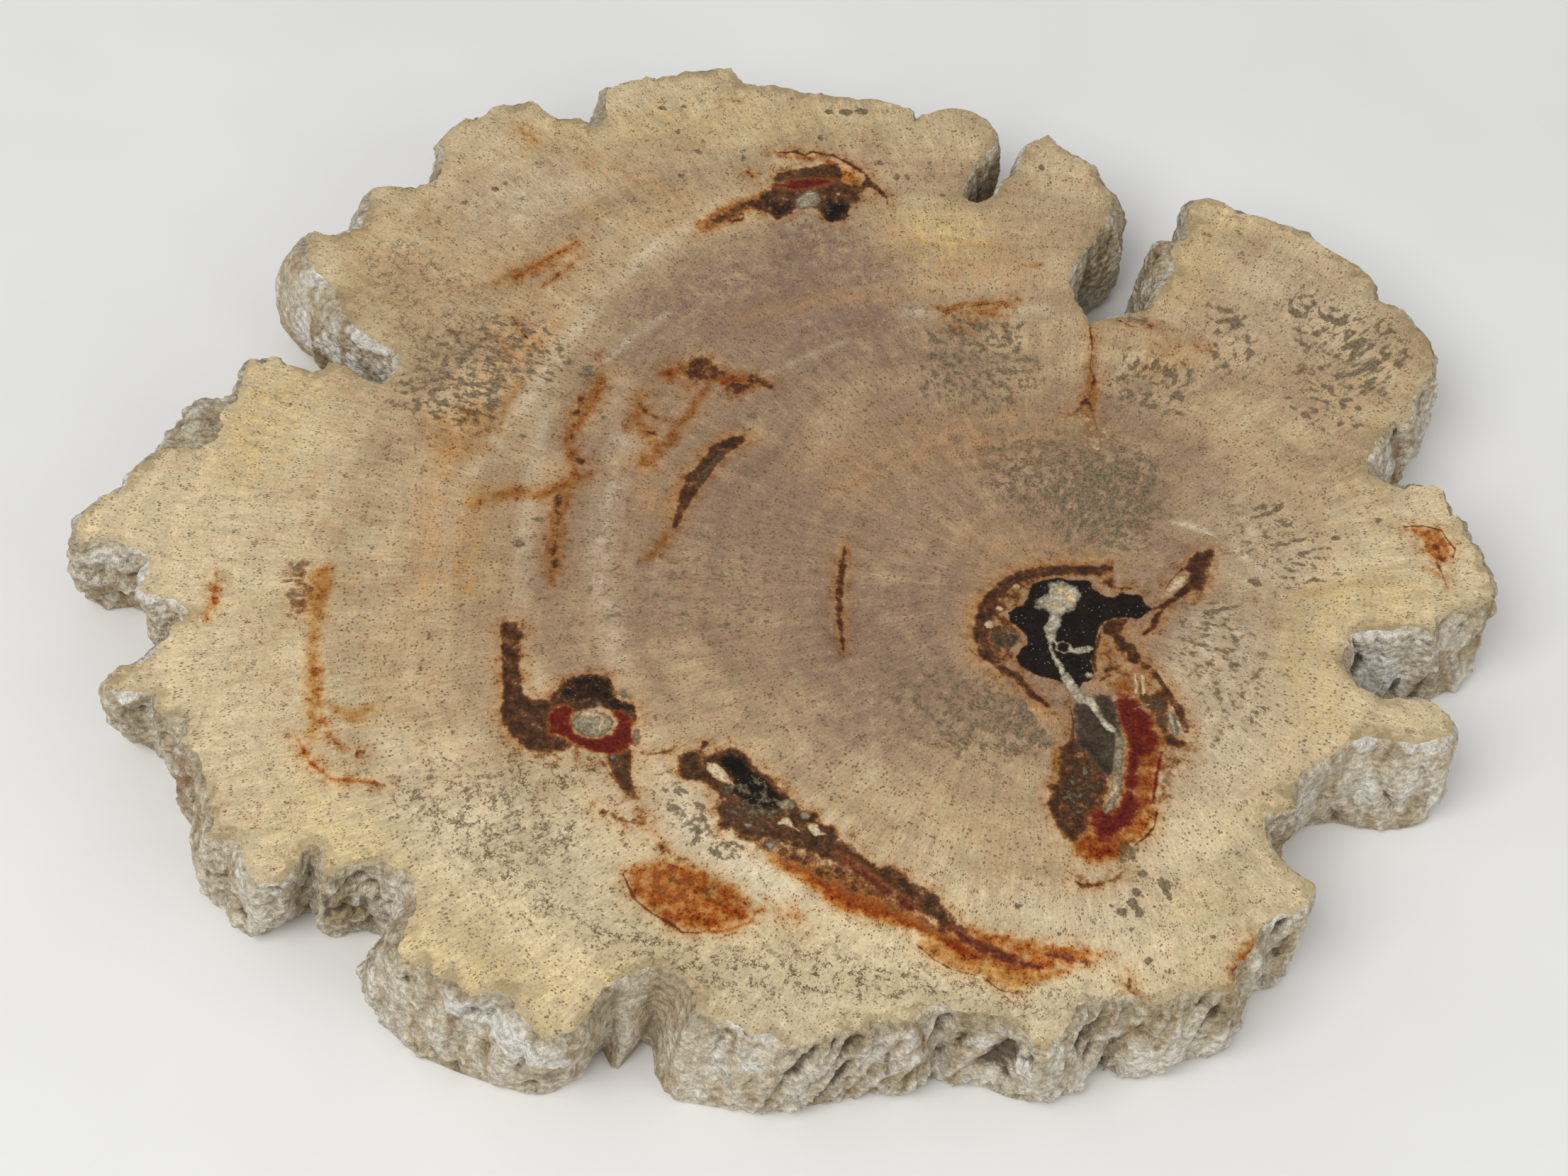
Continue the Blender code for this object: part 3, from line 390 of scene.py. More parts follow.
UPPER_KNOT = (
    line("rust", (0.4, 1.2, 1.2, 0.8), 2.0, 0.8, (-11, 91.4), (-6, 90.8), (-1, 91), (4, 88.6)),
    line("brown", (0.12, 0.35, 0.55, 0.45, 0.6, 0.45, 0.4, 0.45, 0.45, 0.5, 0.55, 0.6, 0.6, 0.6), 0.6, 1.0,
         (-10.5, 91.8), (-8, 91.8), (-6, 92.5), (-5, 91.8), (-4, 91.6), (-3, 92.8), (-1.5, 92.7), (0, 92.2),
         (1.5, 92.3), (3, 91.3), (5, 90), (7, 88.7), (8.5, 87.2), (9, 85.2)),
    line("brown", (1.2, 0.9, 0.6, 0.4, 0.25), 0.7, 1.0, (8.6, 85), (10.4, 84.2), (11.8, 82.5), (12.7, 81),
         (12.9, 79.3)),
    area("brown", 0.7, 0.95, (-9.8, 84), (-9, 86.3), (-7, 86.8), (-5, 87.8), (-3.5, 88.2), (-2, 89),
         (-0.8, 89.8), (1, 89.8), (2.6, 90.3), (3.4, 88.6), (4, 85), (8.3, 84), (8, 81.5), (7, 79),
         (5.5, 76), (4.3, 73.5), (3, 72.6), (1.5, 73.3), (0.3, 74.5), (-1, 75.8), (-3, 76.8), (-5, 75.5),
         (-6.5, 73.2), (-7.8, 72), (-8.8, 72), (-9.8, 73.2), (-12.3, 74.3), (-12.9, 76.3), (-12.2, 78.8),
         (-11.3, 80.8), (-10.2, 81), (-9.9, 82.5)),
    area("khaki", 1.4, 0.3, (-7, 86), (-2, 88.6), (1.5, 89.6), (2.5, 87.5), (-1, 86.4), (-5, 85)),
    area("tan", 1.2, 1.0, (3, 90.8), (5, 90), (8.2, 87.4), (8.8, 85.5), (8, 83.5), (5, 83), (3, 86)),
    area("amber", 1.0, 1.0, (2.6, 89), (5.5, 88.4), (7.6, 86.4), (8, 84), (6.5, 82.6), (4, 82.6),
         (2.6, 85.6)),
    line("rust", (0.5, 0.9, 0.5), 1.6, 0.4, (2.4, 88), (3, 86), (2.4, 84)),
    area("gold", 1.2, 1.0, (2.6, 90), (5.5, 89), (8, 86.4), (8.2, 83.4), (6.5, 82), (4, 82), (2.6, 85.6)),
    line("amber", (0.8, 1.2), 1.2, 1.0, (-1.5, 86.2), (2, 86)),
    line("amber", (1.0, 1.2, 0.8), 1.2, 1.0, (3.4, 86.6), (4.6, 84.4), (4.6, 82.8)),
    line("rust", (1.2, 1.4, 1.0), 1.8, 0.8, (-2, 84.4), (0.6, 85.6), (2.8, 86.4)),
    line("red", (0.9, 1.6, 1.7, 1.1, 0.5), 2.0, 1.0, (-8.6, 82.1), (-6, 82.6), (-3.2, 83.2), (0, 84.2),
         (2.2, 85.2)),
    line("brown", (0.2, 0.4, 0.3), 1.2, 0.6, (-9, 83.4), (-6.4, 84), (-3.6, 84.8)),
    area("black", 1.8, 0.95, (0.3, 80.5), (1, 77.5), (0.3, 75.5), (1.5, 73.4), (3, 72.8), (4.3, 73.8),
         (5.5, 76.2), (6.6, 78.8), (4.5, 79.5), (2.5, 78.8)),
    area("black", 1.8, 0.74, (-11.6, 79.5), (-10, 80), (-9.5, 78), (-7.5, 78), (-6.5, 80), (-5.8, 78),
         (-5, 75.8), (-7, 73), (-9, 73), (-11.8, 75)),
    area("ash", 0.8, 1.0, (-5.3, 78.5), (-4, 80.5), (-2.3, 81.8), (-0.8, 81.3), (-0.2, 79.5), (-0.6, 77),
         (-2.4, 76.2), (-4.3, 76), (-5.2, 77)),
    line("quartz", 0.5, 0.9, 0.75, (-4.8, 76.6), (-4.4, 78.6), (-3, 80.4), (-1.4, 80.8)),
    dot("ivory", 3.1, 81.1, 0.5),
    line("amber", (2.2, 2.0, 2.2, 2.4, 1.9, 1.2), 1.6, 1.0, (-12.6, 76.8), (-14.8, 75.4), (-17, 73.6),
         (-19, 71.6), (-21.4, 69.6), (-23.2, 68.2)),
    line("brown", (1.8, 1.5, 1.4, 1.5, 1.0, 0.4), 2.0, 0.9, (-12.6, 76.6), (-14.8, 75.4), (-17, 73.4),
         (-19, 71.4), (-21.4, 69.4), (-23.2, 68.2)),
    line("brown", 0.45, 0.6, 0.8, (-16, 73.8), (-14.8, 72.6), (-15.2, 71.2), (-17, 70.8), (-19.4, 70.8)),
    line("tan", 1.2, 2.0, 0.8, (-14, 77), (-19, 73.4), (-24, 68.8)),
    line("rust", 0.5, 0.5, 1.0, (-15, 85.1), (-13.9, 83.8)),
    line("rust", 0.3, 0.9, 0.6, (10.2, 80.4), (11.4, 79), (12, 80.6), (11, 81.8)),
    area("mauve", 6.0, 0.9, (-9, 71), (-3, 75), (3, 72), (10, 64), (14, 48), (0, 44), (-12, 52)),
    line("smoke", (1.2, 0.8, 0.6), 3.5, 0.42, (-3, 75), (-2.5, 70), (-1.5, 65)),
    line("smoke", 0.8, 3.0, 0.36, (-8, 70), (-6, 66.5), (-4, 62)),
)

STREAKS = (
    line("amber", (1.6, 2.2, 2.0, 1.6, 1.6, 2.2, 2.0, 2.0, 1.2), 3.0, 0.9, (-37.6, 26), (-38.6, 20),
         (-41, 14), (-41.6, 8), (-40, 3), (-41, -2), (-41.8, -9), (-41.6, -17), (-41, -24)),
    line("amber", (1.0, 1.8, 1.6, 1.4, 1.0), 2.6, 1.0, (-57, -8), (-51, -4.4), (-45, -4), (-39, 0),
         (-36, 3)),
    line("amber", (1.2, 1.6, 1.2), 2.4, 1.0, (-25.4, -17), (-23, -14), (-22, -11)),
    line("amber", (1.6, 2.4, 2.2, 1.2), 3.0, 1.0, (-27, 28), (-21, 30), (-14, 28), (-8, 28)),
    line("amber", (1.6, 1.6, 1.8, 1.6), 2.6, 0.9, (-18.6, 24), (-21, 18), (-24, 11), (-28, 6)),
    line("amber", (1.0, 1.6, 1.6, 1.0), 2.4, 0.85, (-30, 22), (-30.4, 17), (-29, 13), (-26, 11)),
    line("brown", (1.0, 1.0, 0.8), 1.6, 0.7, (-40.8, 20), (-41.6, 13), (-41.2, 8)),
    line("brown", (1.1, 1.6, 1.8, 1.7, 1.9, 1.5, 1.1, 0.6), 1.0, 1.0, (-11, 13.3), (-12.6, 12.2),
         (-15, 9.6), (-16.5, 6), (-18.3, 2.5), (-19.4, -1), (-20.2, -4.5), (-20.8, -9)),
    line("black", (0.4, 0.5, 0.5, 0.5, 0.3), 1.6, 0.6, (-11.2, 12.8), (-13.4, 11.4), (-15, 9.6), (-18.8, 0),
         (-20.3, -5.6)),
    line("smoke", (0.6, 0.8, 0.7), 1.4, 0.7, (-14.2, 9.2), (-16.4, 5), (-18.2, 1.4)),
    line("ash", (0.3, 0.4, 0.3), 1.4, 0.5, (-15.4, 7.4), (-16.8, 4.4), (-18, 1.8)),
    line("tan", 2.0, 2.2, 0.8, (-9, 14), (-13, 13), (-18, 7), (-20.5, 0), (-21.8, -7)),
    area("amber", 4.0, 0.55, (-26, -13), (-21.5, -11), (-20, -17), (-24, -18)),
    line("rust", (1.2, 2.2, 2.4, 1.4), 2.4, 0.7, (-25.4, 28.6), (-21.6, 29.4), (-17, 28.4), (-10, 27)),
    area("brown", 1.2, 0.86, (-25, 31), (-22.5, 31), (-21.5, 32.5), (-19.5, 34.5), (-17.5, 32.5), (-16, 31),
         (-13.8, 30.3), (-14.5, 28.4), (-17.5, 28.5), (-18, 27), (-20.5, 25.8), (-22, 27.5), (-24.5, 28.5)),
    line("brown", (1.6, 1.4), 1.6, 0.9, (-21, 30), (-17.6, 28.8)),
    line("brown", (1.3, 1.7, 1.2, 1.4, 1.1, 0.6), 1.2, 0.84, (-14.4, 25.4), (-13, 26), (-11, 26.6),
         (-9.6, 29), (-8, 28), (-6.4, 27)),
    dot("brown", -12.9, 25.6, 1.3, 0.95, 1.0),
    area("amber", 4.0, 0.62, (-29, 31), (-24, 33), (-20, 25), (-17, 20), (-21, 16), (-24, 24), (-28, 27)),
    line("amber", (1.0, 1.2, 1.0, 0.9, 1.2), 1.8, 0.75, (-18, 25), (-20, 19), (-22.6, 14), (-24.6, 9.6),
         (-27.5, 5)),
    line("brown", (0.5, 0.7), 1.2, 0.62, (-23.6, 12), (-25.6, 9)),
    line("brown", (0.8, 0.9, 0.6, 0.4), 1.0, 0.72, (-30.2, 20), (-29, 18), (-27.2, 17), (-25, 16.2)),
    line("brown", 0.4, 0.8, 0.66, (-29.4, 22.2), (-27.6, 21.4)),
    line("brown", (0.5, 0.6, 0.9), 0.8, 0.75, (-30.4, 13.2), (-28, 13.3), (-26.3, 12.8)),
    line("amber", 1.0, 1.6, 0.7, (-31.6, 17), (-32, 13)),
    line("brown", (0.4, 0.3), 0.8, 0.6, (-28, 5), (-25.6, 5)),
    line("rust", (1.0, 0.8, 0.8, 0.9, 0.7, 0.8, 1.0, 1.2, 1.0), 2.0, 0.5, (-37.8, 24), (-38.4, 20),
         (-40.6, 16), (-42, 12), (-41.2, 8), (-40, 4), (-39.6, 1), (-41.4, -2), (-42, -5)),
    line("brown", (1.2, 0.9, 1.0, 1.3, 0.9), 1.7, 0.74, (-42, -4), (-41.7, -9), (-41.5, -14),
         (-41.2, -18.5), (-41, -22.6)),
    dot("brown", -38.0, 24.0, 0.9, 0.9, 1.0),
    dot("brown", -39.4, 4.4, 1.3, 0.85, 1.6),
    dot("brown", -41.5, -17.5, 0.9, 0.9, 1.2),
    area("amber", 3.6, 0.6, (-58, -4), (-50, -2.4), (-42, -2), (-38, 1.5), (-36.4, -1), (-41, -6),
         (-48, -6), (-58, -9)),
    area("amber", 3.5, 0.5, (-37, 3), (-32, 8), (-25, 9), (-25, 4), (-33, 1)),
    line("brown", (0.25, 0.4), 0.5, 0.85, (-55.6, 38.6), (-52.6, 34.2)),
    dot("brown", -51.2, 32.8, 0.6, 0.8),
    line("rust", 0.6, 1.2, 0.7, (-58.4, 33.4), (-55, 29.8)),
    line("amber", (0.7, 1.1, 0.9), 1.6, 0.8, (-52, 23), (-54, 17.6), (-54.6, 12)),
    line("brown", 0.3, 0.6, 0.6, (-39.6, 31.2), (-38.8, 29.4), (-37, 28.6), (-35.4, 30)),
    line("brown", (0.3, 0.75, 0.9, 0.8, 0.3), 0.9, 0.96, (9.4, -10.4), (9.2, -14), (9, -19), (9.2, -25),
         (10.4, -34)),
    line("tan", 1.2, 2.0, 0.6, (9.4, -10), (9, -20), (9.8, -30)),
    line("amber", (1.4, 2.2, 1.4), 3.0, 0.8, (-60, 48), (-53, 53), (-46, 60)),
    line("rust", (0.3, 0.7, 0.6, 0.3), 1.4, 0.8, (-57.5, 49.6), (-53.5, 53.4), (-49.6, 57.6), (-46, 61.5)),
    line("rust", (0.2, 0.6, 0.4), 1.4, 0.72, (-52.4, 47), (-49, 51), (-45, 57)),
    line("rust", (0.2, 0.35, 0.2), 1.0, 0.6, (-57, 41), (-54.5, 37), (-52, 33.5)),
    line("rust", (0.3, 0.9, 1.0, 0.5), 1.2, 0.8, (-98.6, -28.6), (-98.2, -32), (-97.9, -35.6),
         (-98.6, -39)),
    line("rust", (0.4, 0.6, 0.5, 0.35), 0.9, 1.0, (-78.6, -62.6), (-76, -67), (-72, -70), (-63, -70.2)),
    line("amber", 1.6, 2.8, 0.9, (-80, -38), (-79, -46), (-77.6, -54), (-76, -62)),
    line("amber", (1.2, 2.0, 1.2), 2.4, 0.9, (-74, -55.6), (-70, -57), (-67, -54.6)),
    line("rust", (0.4, 0.6, 0.5, 0.5, 0.4), 1.2, 0.7, (-77.8, -47), (-76.8, -53), (-75.4, -58), (-73, -62),
         (-69.4, -65)),
    dot("rust", -77.6, -48.4, 1.3, 0.7, 1.4),
    dot("brown", -68.0, -64.6, 1.1, 0.8, 0.7),
    dot("grey", -68.0, -64.6, 0.5, 1.0),
    area("amber", 3.0, 1.0, (-83, -25), (-79, -24), (-77.6, -30), (-78.4, -38), (-81.8, -37), (-83, -31)),
    area("brown", 2.0, 0.5, (-86.4, -26), (-83, -24.6), (-81, -36), (-85, -38)),
    area("grey", 2.4, 0.5, (-87, -25), (-83, -24), (-81, -36), (-85, -39)),
    line("amber", 1.0, 2.0, 0.6, (-76, -27), (-75, -31)),
    area("tan", 6.0, 0.7, (-60, 26), (-48, 44), (-44, 34), (-52, 14), (-60, 10)),
    area("amber", 5.0, 0.6, (-70, 12), (-60, 18), (-50, 12), (-56, 2), (-66, 0)),
)

RIGHT_SIDE = (
    area("rust", 0.9, 0.82, (110, 6.2), (113.3, 6.9), (116.6, 6.2), (117.4, 4), (118.7, 2), (118.2, 0),
         (117.2, -1.3), (114, -1), (112.6, 0.5), (112.8, 3), (111.5, 4.5)),
    line("plum", 0.25, 0.5, 0.9, (110, 6.3), (113.3, 6.9), (116.6, 6.2), (117.5, 4), (118.7, 2),
         (118.2, 0)),
    dot("plum", 115.3, 2.0, 0.9, 0.95, 0.8),
    dot("plum", 116.2, -0.8, 0.7, 0.95, 0.8),
    line("plum", (0.4, 0.25, 0.1), 0.6, 0.85, (115.2, -1.8), (116, -4.6), (116.6, -7.4)),
    line("amber", 0.7, 1.4, 0.8, (112.6, -3.2), (114.8, -4.2)),
    line("brown", (0.4, 0.22, 0.2, 0.3), 0.5, 0.8, (52.8, 50.6), (53.3, 45), (53, 41), (52.8, 38)),
    line("amber", (0.4, 1.0, 1.8, 1.6, 0.8), 2.2, 0.9, (53, 44), (53, 39), (53, 33), (52.4, 28), (53, 22)),
    line("brown", (0.4, 0.7, 0.4), 1.2, 0.8, (53, 39.4), (53.8, 36.6), (53, 34)),
    line("brown", (0.5, 1.1, 1.2, 0.6), 1.6, 0.76, (53.4, 34.4), (52.4, 31), (51.2, 28.4), (48.6, 26)),
    line("brown", (0.8, 0.9, 0.5), 1.6, 0.74, (52.8, 30), (53.8, 25.6), (54.4, 21.6)),
    area("ivory", 2.6, 0.42, (46, 26), (52, 30), (58, 24), (56, 17), (48, 18)),
    line("brown", 0.4, 0.8, 0.7, (58.6, 52.6), (61, 51.4)),
    line("brown", 0.4, 0.8, 0.66, (63, 52.6), (66, 51.6)),
    line("khaki", 1.2, 1.6, 1.0, (56, 46.6), (61, 45.4)),
    line("grey", (0.8, 1.2, 0.8), 1.4, 0.72, (60.6, 53.4), (64.6, 53), (68.6, 51.6)),
    line("amber", (0.8, 1.6, 1.8, 0.8), 2.4, 0.9, (23, 50.4), (29, 51.6), (34, 52), (38, 54.6)),
    line("amber", (0.6, 1.0, 1.0, 0.6), 1.8, 0.9, (22, 51), (28, 53), (34, 54.6), (39, 56)),
    line("brown", (0.2, 0.35, 0.3, 0.2), 0.8, 0.74, (24.6, 51), (29, 52.6), (34, 54.4), (38.4, 55.8)),
    line("brown", (0.2, 0.3, 0.2), 0.8, 0.62, (29.6, 49.4), (33, 50.4), (37, 51.6)),
    line("rust", 0.6, 1.6, 0.7, (26.6, 46), (31, 48.4)),
    area("amber", 4.0, 0.5, (60, 40), (64, 36), (75, 44), (77, 49), (70, 51), (63, 48)),
    line("brown", (0.2, 0.4, 0.2), 1.0, 0.6, (72.6, 47.4), (75.6, 46.6), (78, 46.8)),
    line("amber", (0.4, 0.8, 0.4), 1.4, 0.9, (39.4, 65.6), (41.6, 65.4), (43.8, 66.2)),
    line("amber", (0.6, 1.2, 0.8), 3.0, 0.6, (14, 72), (22, 69.4), (33, 71)),
    area("amber", 4.0, 0.42, (24, 44), (36, 47), (40, 54), (30, 55), (22, 50)),
    line("pale", (0.3, 0.8, 0.5), 1.0, 0.85, (67.5, 2.6), (71, 2), (75, 0.2)),
    line("pale", (0.4, 0.9, 0.5), 1.0, 0.8, (79, -3), (81.6, -5), (84, -7.6)),
    line("pale", 0.8, 2.0, 0.6, (77.6, -8), (80.4, -10.4)),
    line("khaki", 0.5, 1.2, 0.7, (90.6, -13), (94, -10.4), (98, -8.8), (103.4, -8)),
    line("tan", 1.2, 2.4, 0.7, (90, -13), (96, -9.6), (104, -7.6), (112, -9)),
    line("brown", (0.3, 0.8, 0.6, 0.2), 0.8, 0.66, (59, -94), (59.4, -97), (60.4, -99), (59.8, -101)),
    area("amber", 2.0, 0.5, (57.4, -92), (60, -95), (62, -99.5), (58.4, -100)),
    line("rust", (0.6, 1.4, 1.6, 1.0), 1.4, 0.8, (79.4, -85.5), (78, -89), (77, -92.5), (76.4, -95.4)),
    line("plum", (0.3, 0.6, 0.5, 0.2), 0.8, 0.85, (79.8, -86), (79, -88.6), (77.6, -91), (76, -92.4)),
)

SPOT_FIELDS = (
    area("grey", 5.0, 0.5, (22, 26), (36, 24), (44, 34), (40, 50), (28, 52), (20, 42)),
    area("grey", 4.0, 0.44, (33, 8), (40, 0), (50, -6), (62, -6), (67, 4), (66, 18), (56, 24), (40, 22),
         (32, 16)),
    area("grey", 3.0, 0.68, (43, 6), (50, -2), (60, -3), (65, 4), (65, 14), (58, 18), (48, 15)),
    area("grey", 4.0, 0.42, (16, -36), (30, -34), (38, -36), (46, -50), (36, -56), (22, -52)),
    area("grey", 5.0, 0.46, (92, 36), (108, 36), (116, 48), (112, 60), (98, 62), (90, 52)),
    area("grey", 4.0, 0.56, (98, 44), (108, 41), (113, 50), (104, 56)),
    area("grey", 5.0, 0.46, (-76, 14), (-58, 8), (-50, 26), (-60, 40), (-72, 32)),
    area("grey", 3.0, 0.6, (-61, 16), (-56, 10), (-53.5, 22), (-56, 28), (-60, 26)),
    area("grey", 4.0, 0.42, (-56, 26), (-46, 20), (-44, 32), (-52, 42), (-60, 38)),
    area("grey", 4.0, 0.34, (66, -4), (84, -22), (86, -40), (76, -46), (68, -30)),
    area("grey", 5.0, 0.32, (78, 14), (92, 8), (98, -8), (86, -14), (76, 2)),
    area("grey", 4.0, 0.42, (74, 59), (82, 60), (86, 46), (80, 37), (75, 44)),
    area("grey", 5.0, 0.4, (88, 36), (92, 29), (104, 28), (108, 34), (98, 40)),
    area("grey", 4.0, 0.42, (87, 60), (94, 67), (104, 63), (106, 54), (96, 54)),
    area("grey", 4.0, 0.46, (54, 30), (70, 28), (74, 42), (60, 46)),
    area("grey", 6.0, 0.2, (-50, -30), (-20, -36), (10, -30), (10, 4), (-20, -4), (-46, -8)),
    area("grey", 6.0, 0.18, (-58, -62), (-40, -66), (-30, -78), (-50, -86), (-62, -74)),
    area("crackle", 6.0, 0.95, (-70, -66), (-40, -92), (-10, -104), (40, -104), (62, -98), (40, -98),
         (10, -94), (-8, -96), (-30, -90), (-56, -70)),
    area("crackle", 6.0, 0.8, (-58, -62), (-40, -68), (-28, -72), (-30, -84), (-50, -84)),
    area("crackle", 4.0, 0.8, (33, 8), (40, 0), (50, -6), (62, -6), (67, 4), (66, 18), (56, 24), (40, 22),
         (32, 16)),
    area("crackle", 4.0, 0.8, (30, -40), (38, -38), (46, -50), (36, -58), (26, -52)),
    area("crackle", 5.0, 0.6, (-86, 52), (-76, 30), (-60, 8), (-50, 26), (-60, 44), (-80, 60)),
    area("khaki", 5.0, 0.5, (-93, 56), (-88, 38), (-78, 30), (-74, 26), (-66, 30), (-78, 44), (-86, 58)),
    area("khaki", 5.0, 0.42, (-70, -62), (-40, -90), (-20, -104), (30, -104), (60, -98), (40, -100),
         (0, -96), (-30, -94), (-60, -70)),
    area("khaki", 4.0, 0.45, (64, -96), (74, -94), (80, -76), (84, -62), (78, -62), (72, -80)),
    line("grey", (1.0, 1.0), 1.0, 0.95, (98, 58.6), (101.6, 57.6)),
    line("grey", (1.1, 0.9), 1.0, 0.95, (101.4, 50.6), (105.2, 53.2)),
    line("grey", (0.9, 0.8), 1.0, 0.95, (103.2, 44.4), (107.8, 47.6)),
    line("grey", 0.9, 1.0, 0.9, (77.6, 54.6), (82.6, 56.8)),
    line("grey", (0.6, 0.9, 0.6), 1.0, 0.85, (83, 5.4), (85.6, 7), (88, 9)),
    line("grey", (0.9, 0.6), 1.0, 0.9, (73.8, -18), (78.2, -16)),
    line("grey", (0.9, 0.5), 0.7, 1.0, (64.8, -75.8), (65.8, -79.2)),
    line("grey", (0.8, 0.8), 0.8, 1.0, (59.4, -80.4), (60.6, -82.6)),
    *dots("grey", 0.6, 1.0, (58.2, -82.4, 0.7), (61.8, -79.2, 0.5), (56.4, -81.5, 0.6), (61.6, -74.6, 0.7)),
    *dots("grey", 0.6, 0.9, (63.2, -81, 0.5), (62, -91.4, 0.8), (59.6, -85.6, 0.6), (41.2, -83, 0.6)),
    dot("grey", 73.0, -85.8, 0.5, 0.8),
    dot("grey", 47.8, -87.8, 0.4, 0.9),
    line("grey", 0.5, 0.9, 0.8, (-16.6, 91.4), (-16.4, 88.6)),
    *dots("grey", 0.8, 1.0, (65.2, -76.6, 1.1), (60.6, -78.4, 0.8), (10.6, 91.5, 0.9), (14.5, 87.4, 0.8),
          (16.8, 87.9, 0.8), (18.5, 88.2, 0.6), (24, 83.5, 0.6)),
    *dots("grey", 0.8, 0.9, (0, 105.2, 1), (3.4, 105.4, 1.3), (6.4, 106.2, 1.2), (43, 94, 0.7),
          (-1.4, 97.2, 0.6), (-24.6, 93.2, 0.5), (-29.6, 95.4, 0.7)),
    *dots("grey", 1.0, 1.0, (92.5, 59, 1.4), (96, 54, 0.9), (-40.4, 26.8, 1.6)),
    *dots("grey", 1.0, 0.9, (103.6, 55.4, 1), (108.8, 50, 1), (111.4, 47.4, 0.8), (87, 0.2, 0.9),
          (97, 2.2, 0.8), (105.2, 7, 0.8), (82.2, -10.2, 1), (-44.4, 29, 0.9), (-50.2, 9.2, 0.8),
          (-25.7, 90, 0.9), (-33.7, 101.5, 0.9), (-29, 103, 0.8)),
    *dots("grey", 1.0, 0.8, (-42.2, 23, 0.8), (-28, 82.4, 0.7), (-62, 75.8, 0.8), (-69.5, 69.3, 0.8),
          (-63.7, 74, 0.7)),
    *dots("grey", 1.2, 0.8, (74.6, -34, 1), (74, -46.6, 1), (-36.2, 15.6, 0.8), (-52, 30.2, 1.2),
          (-19, -21, 0.7)),
    *dots("grey", 1.4, 0.8, (-48, -16, 1.3), (-9.4, 19.4, 1.4)),
    dot("grey", -45.0, -10.0, 1.0, 0.7, 1.4),
)

